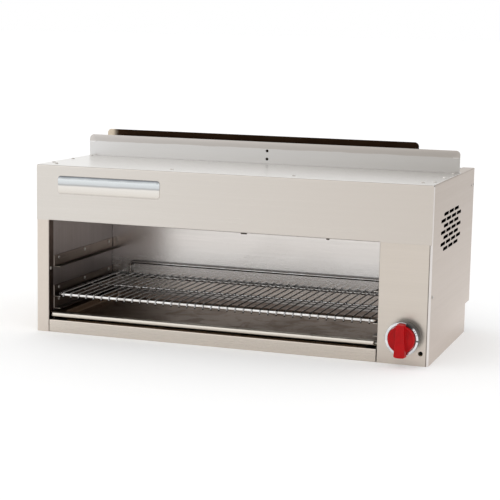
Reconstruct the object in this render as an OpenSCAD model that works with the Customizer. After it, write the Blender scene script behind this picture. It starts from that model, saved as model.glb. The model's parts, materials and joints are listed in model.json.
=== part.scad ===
// Cheese melter: a shallow gas broiler of folded stainless sheet, open at the front.
// Infrared burners hang under the hood, food stands on a wire rack, and a tray catches the drips.
// Millimetres. X runs to the right, Y to the back, Z up. Depths are measured from the hood's face.

/* [Body] */
// Width over the side panels
body_w = 914.4; // [760:0.1:1220]
// Height from the base to the top panel
body_h = 384; // [370:1:420]
// Depth from the hood's face to the back
body_d = 450; // [440:1:480]
// Thickness of the sheet steel
sheet = 1.2; // [1:0.1:1.5]
// Outer radius of a folded edge
bend_r = 2.4; // [2:0.1:3]
// Outer radius of the side panels' front edges
edge_r = 4.5; // [3.5:0.1:5]
// Width of the flanges folded in along the top and the back
flange_w = 28; // [20:1:30]
// Depth of the step that leaves room for pipes at the lower back edge
step_d = 50; // [40:1:60]
// Height of that step
step_h = 67; // [50:1:80]

/* [Front] */
// Height of the hood
hood_h = 126; // [122:1:130]
// How far the hood's ends stop short of the side panels
hood_inset = 1.2; // [0.5:0.1:2.5]
// Depth of the flange along the hood's top edge
hood_flange = 40; // [34:1:42]
// Width of the left front post
stile_w = 30.2; // [29.5:0.1:36]
// Width of the control panel
column_w = 112.2; // [110:0.1:125]
// How far the control panel runs up behind the hood
panel_lap = 40; // [20:1:60]
// Depth of the folds that line the opening's two sides
return_d = 24; // [22:1:25]
// Height of the front rail under the tray
rail_h = 28.5; // [20:0.5:29]
// Seam left at each end of the front rail
rail_gap = 1.5; // [0.5:0.1:2]
// Depth of the front rail's folds
rail_fold = 24; // [15:1:24]

/* [Cavity] */
// Depth of the broiling space's back wall
cavity_d = 350; // [344:1:356]
// Thickness of the insulation behind the left wall
left_pad_t = 19; // [10:1:20]
// Gap between the gas valve and the insulation behind it
right_pad_in = 20; // [14:1:30]
// Thickness of the insulation behind the right wall
right_pad_t = 12; // [8:1:16]
// Thickness of the insulation over the burners
top_pad_t = 12; // [8:1:12]
// Air gap between the right wall and its insulation
pad_gap = 6; // [5.5:0.1:7]

/* [Rack guides] */
// Height of the lowest pair of guides
guide_low_z = 50; // [48:0.5:51]
// Height of the pair that carries the rack
guide_mid_z = 77.5; // [77:0.5:84]
// Height of the upper pair
guide_top_z = 147; // [140:1:170]
// Height of a guide's screwed flange
guide_h = 26; // [22:1:26]
// Width of a guide's shelf
guide_shelf = 16; // [12:1:20]
// Length of a guide
guide_len = 320; // [290:1:322]
// Height of the screws above a guide's shelf
guide_screw_z = 19; // [14:0.5:20]
// Distance between the screws along a guide
guide_pitch = 137; // [110:1:140]
// Width of the ledge that carries the tray
runner_shelf = 20; // [14:1:22]
// Height of that ledge's screwed flange
runner_h = 24; // [20:1:26]

/* [Rack] */
// Radius of the rack's frame rod
rack_r = 3.8; // [2.5:0.1:4]
// Radius of the rack's middle rod
rack_mid_r = 2.5; // [2:0.1:3]
// Radius of the cross wires
wire_r = 1.6; // [1.2:0.1:1.8]
// Distance between cross wires
wire_pitch = 19.05; // [15:0.05:25]
// Side play of the rack between the walls
rack_play = 7; // [3:0.5:9]
// Depth of the rack over its frame rods
rack_d = 318; // [290:1:320]
// Height of the rear stop above the frame
stop_h = 34; // [20:1:45]
// Distance of the rear stop's legs from the rack's ends
stop_inset = 45; // [30:1:80]
// Radius of the rear stop's rod
stop_r = 4; // [2:0.1:4.5]
// How far the wire tips hang below the front rod's axis
wire_drop = 7; // [3:0.5:8]

/* [Drip tray] */
// Height of the tray's rim
tray_z = 45; // [43.5:0.5:46]
// Depth of the tray's well
tray_depth = 15; // [8:0.5:15]
// Width of the tray's side and back rims
tray_rim = 27; // [23:1:35]
// Width of the tray's front rim
tray_front = 22; // [15:1:30]
// Thickness of the tray's sheet
tray_t = 1; // [0.8:0.1:1.2]
// Radius of the roll along the tray's front edge
roll_r = 5; // [4:0.1:5.5]
// Side play of the tray
tray_play = 1.8; // [1:0.1:3]
// Gap under what slides on a ledge
slide_gap = 0.3; // [0.2:0.05:0.5]

/* [Riser and flue] */
// Depth of the riser's face
riser_y = 277; // [268:1:280]
// Height of the riser above the top panel
riser_h = 51; // [40:1:70]
// Height of the bent-back band along the riser's top
riser_band = 12; // [8:1:16]
// Lean of that band in degrees
riser_lean = 12; // [5:1:20]
// Depth of the riser's foot
riser_foot = 14; // [12:1:18]
// Corner radius of the riser and of the flue plate
riser_corner = 10; // [4:1:11]
// Height of the upper of the riser's two holes
riser_hole_z = 30; // [26:1:32]
// Distance between those two holes
riser_hole_pitch = 19; // [15:1:20]
// Radius of those holes
riser_hole_r = 3.4; // [2:0.1:3.8]
// Height of the flue's rear plate above the top panel
flue_h = 60; // [55:1:80]
// How far the flue's rear plate runs past the left wall
flue_over = 14; // [6:1:20]
// Gap around that plate where it passes the side panel's flange
slot_gap = 0.4; // [0.2:0.1:1]
// How far the flue's rear plate laps down behind the back wall
flue_lap = 44; // [30:1:60]
// How far the flue's front wall hangs below the top panel
baffle_h = 122; // [110:1:123]

/* [Louvres] */
// Length of one slot
louvre_l = 49; // [30:1:50]
// Height of one slot
louvre_h = 7.2; // [4:0.1:8]
// Distance between slots along a row
louvre_pitch = 56; // [54:1:62]
// Distance between rows
row_pitch = 12.6; // [10:0.1:14]
// Number of rows
rows = 7; // [3:2:9]
// Slots in a long row
row_slots = 4; // [3:1:5]
// Depth of the louvres' centre
louvre_y = 192; // [180:1:210]
// Height of the louvres' centre
louvre_z = 272.5; // [250:0.5:290]

/* [Knob and valve] */
// Height of the knob's axis
knob_z = 60; // [56:1:70]
// Distance of the knob's axis from the right side
knob_x = 53; // [50:1:56]
// Reach of the handle in front of the control panel
knob_out = 46; // [40:1:55]
// Radius of the knob's disc
knob_r = 29; // [24:0.5:32]
// Depth of the bezel
bezel_d = 25; // [18:1:26]
// Outer radius of the bezel
bezel_r = 36.5; // [34:0.5:38]
// Wall of the bezel
bezel_t = 2.4; // [1.5:0.1:3]
// Play between the disc and the bezel
bezel_play = 0.6; // [0.4:0.1:1.5]
// How far the disc stands proud of the bezel
disc_out = 7; // [4:1:10]
// Width of the handle at its upper end
grip_top = 18; // [12:1:20]
// Width of the handle at its lower end
grip_low = 26; // [18:1:28]
// Reach of the handle below the axis
grip_down = 38; // [32:1:40]
// Reach of the handle above the axis
grip_up = 34; // [28:1:38]
// Radius of the valve's stem
stem_r = 4; // [3:0.1:5]
// Running clearance of turning pieces
turn_gap = 0.05; // [0.02:0.01:0.1]
// Width of the valve's body
valve_w = 36; // [30:1:40]
// Length of the valve's body
valve_l = 46; // [40:1:50]
// Height of the valve's body
valve_h = 40; // [34:1:44]
// Distance of the valve's body behind the control panel
valve_y = 14; // [12:1:18]
// Radius of the valve's neck
neck_r = 11; // [9:0.5:13]

/* [Gas pipes] */
// Radius of the inlet pipe
pipe_r = 13.35; // [10.6:0.05:14]
// Height of the inlet pipe
pipe_z = 34; // [31:1:38]
// Depth at which the pipes rise behind the valve
rise_y = 82; // [80:1:84]
// How far the inlet pipe stops short of the back
pipe_short = 5; // [2:1:15]
// Thickness of the nut that holds the inlet pipe
pipe_nut_t = 8; // [6:1:12]
// Radius of the manifold pipe
manifold_r = 10.65; // [8:0.05:11]
// Height of the burner mixing tubes above the burners
mixer_lift = 22; // [20:0.5:24]
// Radius of a mixing tube
mixer_r = 16; // [12:0.5:16.5]
// Depth of the right burner's mixing tube
mixer_y1 = 105; // [100:1:115]
// Depth of the left burner's mixing tube
mixer_y2 = 200; // [180:1:215]
// How far the mixing tubes reach past the cavity's right wall
mixer_out = 21; // [16:1:22]

/* [Burners] */
// Height of the burners' lower edge above the hood's
burner_up = 10; // [9:0.5:11]
// Height of a burner's box
burner_h = 62; // [50:1:62]
// Gap between the burners and the flue's front wall
burner_gap_b = 21.2; // [18:0.1:26]
// Distance of the burners behind the hood's face
burner_y = 26; // [26:0.5:28]
// Gap between the burners and the left wall
burner_gap_l = 6; // [4:0.5:10]
// Gap between the burners and the right wall
burner_gap_r = 40; // [36:1:50]
// Gap between the two burners
burner_gap_m = 8; // [5:0.5:12]
// Thickness of the ceramic plaques
plaque_t = 13; // [10:0.5:15]
// Plaques along a burner
plaques_x = 4; // [3:1:5]
// Plaques across a burner
plaques_y = 2; // [1:1:3]
// Gap between plaques
plaque_gap = 1; // [0.6:0.1:2]
// Width of the shelf that a burner's edge rests on
support_shelf = 16; // [12:1:17]
// Lap of the rear shelf under the burners
support_lap = 9; // [7:0.5:12]
// Height of the shelves' upright flanges
support_h = 24; // [16:1:30]
// Width of a bar of the wire screen
screen_bar = 8; // [6:0.5:10]
// Distance between the screen's rods
screen_pitch = 29; // [20:1:40]
// Distance of the screen clips from a burner's left end
clip_x = 90; // [40:1:110]
// Distance between a burner's two clips
clip_step = 190.5; // [120:0.5:220]
// How far the right burner's clips hang below the front support
clip_drop = 14; // [8:0.5:14]

/* [Pilot] */
// Distance of the pilot hole from the right side
pilot_x = 17.2; // [17:0.1:19]
// Length of the pilot valve's body
pilot_l = 24; // [20:1:28]
// Height of the pilot hole
pilot_z = 27; // [24:1:28]
// Radius of the pilot hole
pilot_hole_r = 5; // [4:0.1:5]
// Radius of the pilot's adjusting screw
pilot_screw_r = 4; // [3:0.1:4]
// Radius of the pilot tube
pilot_tube_r = 3; // [2:0.1:3.2]
// Height of the pilot tube's crossing
pilot_cross_z = 292; // [290:1:300]
// Depth of the pilot burner
pilot_y = 46; // [45:1:50]

/* [Nameplate] */
// Length of the plate on the hood
plate_w = 247; // [150:1:300]
// Height of the plate
plate_h = 40.5; // [30:0.5:60]
// Distance of the plate from the body's left side
plate_x = 54.7; // [30:0.1:120]
// Height of the plate's centre below the top
plate_down = 44; // [35:1:60]
// Thickness of the plate's edge
plate_t = 1.6; // [1:0.1:2.5]

/* [Fasteners] */
// Radius of a screw's head
head_r = 4.2; // [3.5:0.1:5]
// Height of a screw's head
head_h = 2; // [1.5:0.1:3]
// Radius of a screw's shank
shank_r = 2; // [1.5:0.1:2.4]
// Play of a screw in its hole
screw_play = 0.3; // [0.2:0.05:0.5]
// Distance of the front row of top screws from the hood's face
row_y = 36; // [15:1:37]
// Distance of the front row's outer screws from the sides
row_in = 32.7; // [31:0.1:60]
// Distance of the outer back screws from the ends of the back panel
back_in = 33; // [20:1:50]
// Distance of the side rows of screws from the sides
col_x = 13; // [9:0.5:18]
// Distance of the side columns' first screw behind the front row
col_in = 26; // [20:1:30]
// Distance between the screws of a side row
col_step = 100; // [80:1:100]
// Height of the screws at the front edge of the sides
side_screw_z = 146; // [130:1:150]
// Radius of the wall bolts' holes in the back
wall_hole_r = 4.5; // [3.5:0.5:6]
// Distance of those holes from the middle
wall_hole_x = 360; // [200:5:380]
// Height of the lower pair of those holes
wall_hole_z = 120; // [100:5:160]
// Height between the pairs of those holes
wall_hole_rise = 220; // [120:5:225]
// Radius of the bracket holes near the sides' rear edge
bracket_hole_r = 3.5; // [2.5:0.1:4]
// Distance of the rearmost bracket hole from the back
bracket_in = 7; // [6.5:0.5:20]
// Distance of the bracket holes below the top
bracket_down = 40; // [30:1:60]
// Distance between those bracket holes
bracket_pitch = 25.4; // [20:0.1:30]

/* [Hidden] */
$fn = 48;

// The hood's face lies at this Y, so that the origin is under the middle of the whole outline
front_y = (knob_out - sheet - body_d - head_h) / 2;
side_x = body_w / 2;
top_z = body_h - sheet;
hood_z = body_h - hood_h;
burner_z = hood_z + burner_up;
face_y = sheet;
inner_y = face_y + return_d;
cav_l = -side_x + stile_w;
cav_r = side_x - column_w;
cav_x = (cav_l + cav_r) / 2;
cav_w = cav_r - cav_l;
step_y = body_d - step_d;
hole_r = shank_r + screw_play;

// rows of screws
row_xs = [for (i = [-3 : 2 : 3]) i * (side_x - row_in) / 3];
col_y0 = row_y + col_in;
col_ys = [for (i = [0 : 2]) col_y0 + i * col_step];
back_zs = [for (i = [0 : 2]) step_h + back_in + i * (top_z - step_h - 2 * back_in) / 2];
riser_xs = [for (i = [-2 : 2]) i * body_w / 5];
side_screw_y = face_y + 18.5;

// guides
guide_y = inner_y + (cavity_d - inner_y) / 2;
guide_ys = [for (i = [-1 : 1]) guide_y + i * guide_pitch];
ledge_z = tray_z - tray_t - slide_gap;
ledge_screw_z = ledge_z - runner_h / 2;

// rack
rack_z = guide_mid_z + sheet + slide_gap + rack_r;
rack_w = cav_w - 2 * rack_play;
rack_y = guide_y - rack_d / 2 + rack_r;
rack_back = rack_y + rack_d - 2 * rack_r;
corner_r = 9;
wire_sink = 0.3;
wire_z = rack_z + rack_r + wire_r - wire_sink;
wire_front = rack_y - rack_r - wire_r + wire_sink;
wire_n = floor((rack_w / 2 - corner_r - wire_r) / wire_pitch);

// tray
tray_l = cav_l + tray_play;
tray_r = cav_r - tray_play;
tray_y = face_y + 2 + roll_r;
tray_back = guide_y + guide_len / 2 - 3;

// riser and flue
foot_y = riser_y + sheet + riser_foot;
riser_w = body_w - 2 * bend_r;
hole_zs = [body_h + riser_hole_z, body_h + riser_hole_z - riser_hole_pitch];
flue_y = cavity_d + sheet;
flue_l = cav_l - flue_over;
flue_r = cav_r - sheet;

// knob, valve and pipes
kx = side_x - knob_x;
handle_y = face_y - knob_out;
disc_y = face_y - bezel_d - disc_out;
panel_back = face_y + sheet;
bolt_y = panel_back + valve_y / 2 + 1.6;
valve_front = panel_back + valve_y;
valve_back = valve_front + valve_l;
collar_r = neck_r + 3;
valve_top = knob_z + valve_h / 2 + 8;
pipe_end = body_d - pipe_short;
mix_z = burner_z + burner_h + mixer_lift;
mouth_x = cav_r + mixer_out;
bell_l = 8;
spud_tip = mouth_x + bell_l + 3;
px = side_x - pilot_x;
pilot_front = panel_back + 4;
pilot_back = pilot_front + pilot_l;
pilot_mid = (pilot_front + pilot_back) / 2;
pilot_up_y = pilot_back - 6;
boss_x = kx + valve_w / 2;
boss_w = 14;
boss_d = 16;
tab_h = 12;

// burners
burner_w = (cav_w - burner_gap_l - burner_gap_r - burner_gap_m) / 2;
left_burner_x = cav_l + burner_gap_l;
right_burner_x = left_burner_x + burner_w + burner_gap_m;
burner_back = foot_y - burner_gap_b;
burner_d = burner_back - burner_y;
shelf_z = burner_z - sheet;
support_y = burner_y - 10;
lip_w = 6;
screen_t = 2;
elbow_in = 60;

// ---------- shapes that repeat ----------

module at_front() translate([0, front_y, 0]) children();

module block(lo, hi) translate(lo) cube(hi - lo);

module rod_x(x0, x1, y, z, r) translate([x0, y, z]) rotate([0, 90, 0]) cylinder(h = x1 - x0, r = r);

module rod_y(y0, y1, x, z, r) translate([x, y1, z]) rotate([90, 0, 0]) cylinder(h = y1 - y0, r = r);

module rod_z(z0, z1, x, y, r) translate([x, y, z0]) cylinder(h = z1 - z0, r = r);

// a profile drawn in Y and Z, drawn out along X
module along_x(x0, x1) translate([x0, 0, 0]) rotate([90, 0, 90]) linear_extrude(x1 - x0) children();

// a profile drawn in X and Z, drawn out along Y
module along_y(y0, y1) translate([0, y1, 0]) rotate([90, 0, 0]) linear_extrude(y1 - y0) children();

// the quarter of a ring that a folded edge makes, in the first quadrant
module fold(r) {
    intersection() {
        difference() {
            circle(r = r);
            circle(r = r - sheet);
        }
        square(r);
    }
}

// an L of sheet in the first quadrant, its folded edge at the origin
module angle_bar(across, up) {
    translate([bend_r, bend_r]) rotate(180) fold(bend_r);
    translate([bend_r, 0]) square([across - bend_r, sheet]);
    translate([0, bend_r]) square([sheet, up - bend_r]);
}

// a plate in X and Z with rounded upper corners, centred on X
module round_top(w, h, r) {
    translate([-w / 2, 0]) square([w, h - r]);
    translate([-w / 2 + r, 0]) square([w - 2 * r, h]);
    for (s = [-1, 1]) translate([s * (w / 2 - r), h - r]) circle(r = r);
}

module rounded(w, h, r) {
    square([w - 2 * r, h], center = true);
    square([w, h - 2 * r], center = true);
    for (x = [-1, 1], y = [-1, 1]) translate([x * (w / 2 - r), y * (h / 2 - r)]) circle(r = r);
}

// a pan-head screw at the origin, its head up and its shank down
module screw(grip) {
    cylinder(h = head_h * 0.45, r = head_r);
    translate([0, 0, head_h * 0.45]) cylinder(h = head_h * 0.55, r1 = head_r, r2 = head_r * 0.62);
    translate([0, 0, -grip]) cylinder(h = grip, r = shank_r);
}

// ---------- casing ----------

// the plan of a side panel: front flange, outer skin and rear flange, drawn for the right side
module side_plan(front_w, y0) {
    translate([side_x - front_w, y0]) square([front_w - edge_r, sheet]);
    translate([side_x - edge_r, y0 + edge_r]) rotate(-90) fold(edge_r);
    translate([side_x - sheet, y0 + edge_r]) square([sheet, body_d - bend_r - y0 - edge_r]);
    translate([side_x - bend_r, body_d - bend_r]) fold(bend_r);
    translate([side_x - flange_w, body_d - sheet]) square([flange_w - bend_r, sheet]);
}

// a whole side, drawn for the right; children are what its plan has besides
module side_shell(front_w, y0) {
    top_y = y0 + edge_r + sheet;
    difference() {
        union() {
            linear_extrude(top_z - bend_r) {
                side_plan(front_w, y0);
                children();
            }
            translate([0, 0, top_z - bend_r]) {
                along_y(top_y, body_d) {
                    translate([side_x - bend_r, 0]) fold(bend_r);
                    translate([side_x - flange_w, bend_r - sheet]) square([flange_w - bend_r, sheet]);
                }
            }
        }
        block([side_x - flange_w - 1, step_y, -1], [side_x + 1, body_d + 1, step_h]);
        for (y = col_ys) rod_z(top_z - 2 * sheet, top_z + 1, side_x - col_x, y, hole_r);
        for (z = back_zs) rod_y(body_d - 2 * sheet, body_d + 1, side_x - flange_w / 2, z, hole_r);
        for (y = [bracket_in, bracket_in + bracket_pitch]) {
            rod_x(side_x - 2 * sheet, side_x + 1, body_d - y, body_h - bracket_down, bracket_hole_r);
        }
        rod_x(side_x - 2 * sheet, side_x + 1, side_screw_y, side_screw_z, hole_r);
    }
}

module left_side_panel() {
    post_edge = side_x - stile_w;
    slot_x = post_edge + flue_over + slot_gap;
    color([0.84, 0.80, 0.75]) at_front() mirror([1, 0, 0]) difference() {
        side_shell(stile_w - bend_r, face_y) {
            translate([post_edge + bend_r, face_y + bend_r]) rotate(180) fold(bend_r);
            translate([post_edge, face_y + bend_r]) square([sheet, return_d - bend_r]);
        }
        rod_x(post_edge - 1, post_edge + 2 * sheet, bolt_y, side_screw_z, hole_r);
        // the slot in the top flange that the flue's rear plate passes through
        block([0, flue_y - slot_gap, top_z - 2 * sheet], [slot_x, flue_y + sheet + slot_gap, top_z + 1]);
    }
}

module louvre_slot() {
    along = louvre_l - louvre_h;
    square([along, louvre_h], center = true);
    for (s = [-1, 1]) translate([s * along / 2, 0]) circle(d = louvre_h);
}

module right_side_panel() {
    color([0.80, 0.76, 0.71]) at_front() difference() {
        side_shell(edge_r + 6, face_y + sheet);
        for (row = [0 : rows - 1]) {
            slots = row_slots - (row + 1) % 2;
            z = louvre_z + (row - (rows - 1) / 2) * row_pitch;
            for (i = [0 : slots - 1]) {
                y = louvre_y + (i - (slots - 1) / 2) * louvre_pitch;
                translate([0, y, z]) along_x(side_x - 2 * sheet, side_x + 1) louvre_slot();
            }
        }
    }
}

module hood() {
    end_x = side_x - hood_inset;
    mid_x = side_x - flange_w - hood_inset;
    color([0.84, 0.81, 0.77]) at_front() difference() {
        union() {
            block([-end_x, 0, hood_z], [cav_l, sheet, top_z - bend_r]);
            block([cav_l, 0, hood_z + bend_r], [cav_r, sheet, top_z - bend_r]);
            block([cav_r, 0, hood_z], [end_x, sheet, top_z - bend_r]);
            translate([0, bend_r, top_z - bend_r]) along_x(-end_x, end_x) rotate(90) fold(bend_r);
            block([-mid_x, bend_r, top_z - sheet], [mid_x, hood_flange, top_z]);
            translate([0, bend_r, hood_z + bend_r]) along_x(cav_l, cav_r) rotate(180) fold(bend_r);
            block([cav_l, bend_r, hood_z], [cav_r, 12, hood_z + sheet]);
        }
        for (x = row_xs) rod_z(top_z - 2 * sheet, top_z + 1, x, row_y, hole_r);
    }
}

module control_panel() {
    right = side_x - edge_r;
    color([0.81, 0.77, 0.72]) at_front() difference() {
        union() {
            block([cav_r + bend_r, face_y, 0], [right, panel_back, hood_z + panel_lap]);
            linear_extrude(hood_z + panel_lap) {
                translate([cav_r + bend_r, face_y + bend_r]) rotate(180) fold(bend_r);
                translate([cav_r, face_y + bend_r]) square([sheet, return_d - bend_r]);
            }
        }
        rod_y(0, panel_back + 1, kx, knob_z, stem_r + 2);
        rod_y(0, panel_back + 1, px, pilot_z, pilot_hole_r);
        rod_x(cav_r - 1, cav_r + 2 * sheet, bolt_y, side_screw_z, hole_r);
    }
}

module front_rail() {
    x0 = cav_l + rail_gap;
    x1 = cav_r - rail_gap;
    color([0.84, 0.81, 0.76]) at_front() along_x(x0, x1) {
        translate([face_y, 0]) angle_bar(rail_fold, rail_h / 2);
        translate([face_y, rail_h]) mirror([0, 1]) angle_bar(rail_fold, rail_h / 2);
    }
}

module base_pan() {
    half = side_x - sheet;
    color([0.70, 0.69, 0.67]) at_front() {
        block([-half, inner_y, 0], [half, step_y - sheet, sheet]);
        for (s = [0, 1]) {
            mirror([s, 0, 0]) block([half - sheet, inner_y, sheet], [half, step_y - sheet, 15]);
        }
    }
}

module back_panel() {
    half = side_x - sheet;
    wide = side_x - bend_r;
    lip_x = side_x - flange_w - 1;
    back = body_d - sheet;
    color([0.66, 0.66, 0.65]) at_front() difference() {
        union() {
            block([-half, step_y - sheet, 0], [half, step_y, step_h + sheet]);
            block([-half, step_y, step_h], [half, back - sheet, step_h + sheet]);
            block([-wide, back - sheet, step_h], [wide, back, top_z - sheet]);
            block([-lip_x, back - 15, top_z - 2 * sheet], [lip_x, back - sheet, top_z - sheet]);
        }
        rod_y(step_y - 2 * sheet, step_y + 1, kx, pipe_z, pipe_r + 1);
        for (x = [-wall_hole_x, wall_hole_x], z = [0, wall_hole_rise]) {
            rod_y(back - 2 * sheet, back + 1, x, wall_hole_z + z, wall_hole_r);
        }
        for (s = [-1, 1], z = back_zs) {
            rod_y(back - 2 * sheet, back + 1, s * (side_x - flange_w / 2), z, hole_r);
        }
    }
}

module top_panel() {
    half = side_x - bend_r;
    color([0.80, 0.80, 0.79]) at_front() difference() {
        block([-half, sheet, top_z], [half, foot_y, body_h]);
        for (x = row_xs) rod_z(top_z - 1, body_h + 1, x, row_y, hole_r);
        for (s = [-1, 1], y = col_ys) rod_z(top_z - 1, body_h + 1, s * (side_x - col_x), y, hole_r);
        for (x = riser_xs) rod_z(top_z - 1, body_h + 1, x, foot_y - riser_foot / 2, hole_r);
    }
}

// ---------- riser and flue ----------

module riser_plate() {
    low_h = riser_h - riser_band;
    color([0.74, 0.75, 0.76]) at_front() difference() {
        union() {
            block([-riser_w / 2, riser_y, body_h], [riser_w / 2, riser_y + sheet, body_h + low_h]);
            block([-riser_w / 2, riser_y, body_h], [riser_w / 2, foot_y, body_h + sheet]);
            translate([0, riser_y, body_h + low_h]) rotate([-riser_lean, 0, 0]) {
                along_y(0, sheet) round_top(riser_w, riser_band, riser_corner);
            }
        }
        for (z = hole_zs) rod_y(riser_y - 1, riser_y + 2 * sheet, 0, z, riser_hole_r);
        for (x = riser_xs) rod_z(body_h - 1, body_h + 2 * sheet, x, foot_y - riser_foot / 2, hole_r);
    }
}

module flue_rear_plate() {
    low = top_z - flue_lap;
    color([0.22, 0.16, 0.12]) at_front() translate([(flue_l + flue_r) / 2, 0, low]) {
        along_y(flue_y, flue_y + sheet) round_top(flue_r - flue_l, body_h + flue_h - low, riser_corner);
    }
}

module flue_front_wall() {
    color([0.50, 0.48, 0.46]) at_front() {
        block([cav_l, foot_y, body_h - baffle_h], [cav_r, foot_y + sheet, body_h]);
    }
}

// ---------- broiling cavity ----------

module side_wall(x, passes) {
    difference() {
        block([x, inner_y, sheet], [x + sheet, cavity_d, top_z - sheet]);
        for (y = guide_ys, z = [guide_low_z, guide_mid_z, guide_top_z]) {
            rod_x(x - 1, x + sheet + 1, y, z + guide_screw_z, hole_r);
        }
        for (y = guide_ys) rod_x(x - 1, x + sheet + 1, y, ledge_screw_z, hole_r);
        if (passes) {
            for (y = [mixer_y1, mixer_y2]) rod_x(x - 1, x + sheet + 1, y, mix_z, mixer_r + 0.3);
            rod_x(x - 1, x + sheet + 1, pilot_y, pilot_cross_z, pilot_tube_r + 0.3);
        }
    }
}

module left_cavity_wall() color([0.42, 0.39, 0.37]) at_front() side_wall(cav_l - sheet, false);

module right_cavity_wall() color([0.42, 0.39, 0.37]) at_front() side_wall(cav_r, true);

module rear_cavity_wall() {
    color([0.70, 0.69, 0.68]) at_front() {
        block([flue_l, cavity_d, sheet], [cav_r + sheet, cavity_d + sheet, top_z - sheet]);
    }
}

module left_insulation() {
    left = -side_x + sheet;
    color([0.92, 0.90, 0.84]) at_front() {
        block([left, inner_y + 5, 16], [left + left_pad_t, cavity_d - 5, top_z - 12]);
    }
}

module right_insulation() {
    left = cav_r + sheet + pad_gap;
    top = pilot_cross_z - pilot_tube_r - 4;
    color([0.92, 0.90, 0.84]) at_front() {
        block([left, valve_back + right_pad_in, sheet], [left + right_pad_t, cavity_d - 5, top]);
    }
}

module top_insulation() {
    color([0.92, 0.90, 0.84]) at_front() {
        block([cav_l + 4, hood_flange + 2, top_z - top_pad_t], [cav_r - 4, riser_y - 1, top_z]);
    }
}

// ---------- guides and ledges ----------

// a shelf on the cavity's left wall, screwed through its upright flange
module wall_shelf(z, shelf, up, screw_z) {
    difference() {
        along_y(guide_y - guide_len / 2, guide_y + guide_len / 2) {
            translate([cav_l, z]) angle_bar(shelf, up);
        }
        for (y = guide_ys) rod_x(cav_l - 1, cav_l + sheet + 1, y, screw_z, hole_r);
    }
}

// turns what is drawn for the cavity's left wall into the right one
module opposite() translate([2 * cav_x, 0, 0]) mirror([1, 0, 0]) children();

module guide(z) color([0.38, 0.34, 0.31]) at_front() wall_shelf(z, guide_shelf, guide_h, z + guide_screw_z);

// the tray's ledge has its shelf at the top of the flange
module ledge() {
    color([0.38, 0.34, 0.31]) at_front() difference() {
        along_y(guide_y - guide_len / 2, guide_y + guide_len / 2) {
            translate([cav_l, ledge_z]) mirror([0, 1]) angle_bar(runner_shelf, runner_h);
        }
        for (y = guide_ys) rod_x(cav_l - 1, cav_l + sheet + 1, y, ledge_screw_z, hole_r);
    }
}

module left_upper_guide() guide(guide_top_z);
module left_rack_guide() guide(guide_mid_z);
module left_lower_guide() guide(guide_low_z);
module left_tray_ledge() ledge();
module right_upper_guide() opposite() guide(guide_top_z);
module right_rack_guide() opposite() guide(guide_mid_z);
module right_lower_guide() opposite() guide(guide_low_z);
module right_tray_ledge() opposite() ledge();

// ---------- rack ----------

// the quarter bend of a rod about the Z axis, from +X to +Y
module rod_turn(turn_r, r) rotate_extrude(angle = 90) translate([turn_r, 0]) circle(r = r);

module rack_frame() {
    half = rack_w / 2 - rack_r;
    for (y = [rack_y, rack_back]) rod_x(-half + corner_r, half - corner_r, y, rack_z, rack_r);
    for (x = [-half, half]) rod_y(rack_y + corner_r, rack_back - corner_r, x, rack_z, rack_r);
    for (s = [0, 1]) mirror([s, 0, 0]) {
        translate([half - corner_r, rack_back - corner_r, rack_z]) rod_turn(corner_r, rack_r);
        translate([half - corner_r, rack_y + corner_r, rack_z]) rotate(-90) rod_turn(corner_r, rack_r);
    }
}

// one cross wire: along the top of the frame and down over the front rod
module cross_wire(x) {
    turn_r = 3;
    rod_y(wire_front + turn_r, rack_back + 1, x, wire_z, wire_r);
    rod_z(rack_z - wire_drop, wire_z - turn_r, x, wire_front, wire_r);
    translate([x, wire_front + turn_r, wire_z - turn_r]) rotate([0, -90, 0]) rotate(-90) {
        rod_turn(turn_r, wire_r);
    }
}

module rack_grid() {
    mid_y = (rack_y + rack_back) / 2;
    mid_z = wire_z - wire_r - rack_mid_r + wire_sink;
    color([0.80, 0.81, 0.82]) at_front() translate([cav_x, 0, 0]) {
        rack_frame();
        rod_x(-rack_w / 2 + rack_r, rack_w / 2 - rack_r, mid_y, mid_z, rack_mid_r);
        for (i = [-wire_n : wire_n]) cross_wire(i * wire_pitch);
    }
}

module rack_stop() {
    half = (floor((rack_w / 2 - stop_inset) / wire_pitch) + 0.5) * wire_pitch;
    turn_r = 10;
    top = rack_z + stop_h;
    foot_z = rack_z + rack_r;
    color([0.78, 0.79, 0.80]) at_front() translate([cav_x, rack_back, 0]) {
        rod_x(-half + turn_r, half - turn_r, 0, top, stop_r);
        for (s = [0, 1]) mirror([s, 0, 0]) {
            rod_z(foot_z, top - turn_r, half, 0, stop_r);
            translate([half - turn_r, 0, top - turn_r]) rotate([90, 0, 0]) rod_turn(turn_r, stop_r);
        }
    }
}

// ---------- drip tray ----------

module drip_tray() {
    in_l = tray_l + tray_rim;
    in_r = tray_r - tray_rim;
    in_y = tray_y + tray_front;
    in_back = tray_back - tray_rim;
    floor_z = tray_z - tray_depth;
    color([0.45, 0.42, 0.39]) at_front() {
        difference() {
            block([tray_l, tray_y, tray_z - tray_t], [tray_r, tray_back, tray_z]);
            block([in_l, in_y, tray_z - 2 * tray_t], [in_r, in_back, tray_z + 1]);
        }
        difference() {
            block([in_l - tray_t, in_y - tray_t, floor_z], [in_r + tray_t, in_back + tray_t, tray_z - tray_t]);
            block([in_l, in_y, floor_z + tray_t], [in_r, in_back, tray_z + 1]);
        }
        difference() {
            rod_x(tray_l, tray_r, tray_y, tray_z - roll_r, roll_r);
            rod_x(tray_l - 1, tray_r + 1, tray_y, tray_z - roll_r, roll_r - tray_t);
            for (s = [0, 1]) translate([s * (tray_l + tray_r), 0, 0]) mirror([s, 0, 0]) {
                translate([tray_l, tray_y - roll_r, 0]) rotate(-45) {
                    cube([4 * roll_r, 2 * roll_r, 3 * tray_z], center = true);
                }
            }
        }
    }
}

// ---------- burners ----------

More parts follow.
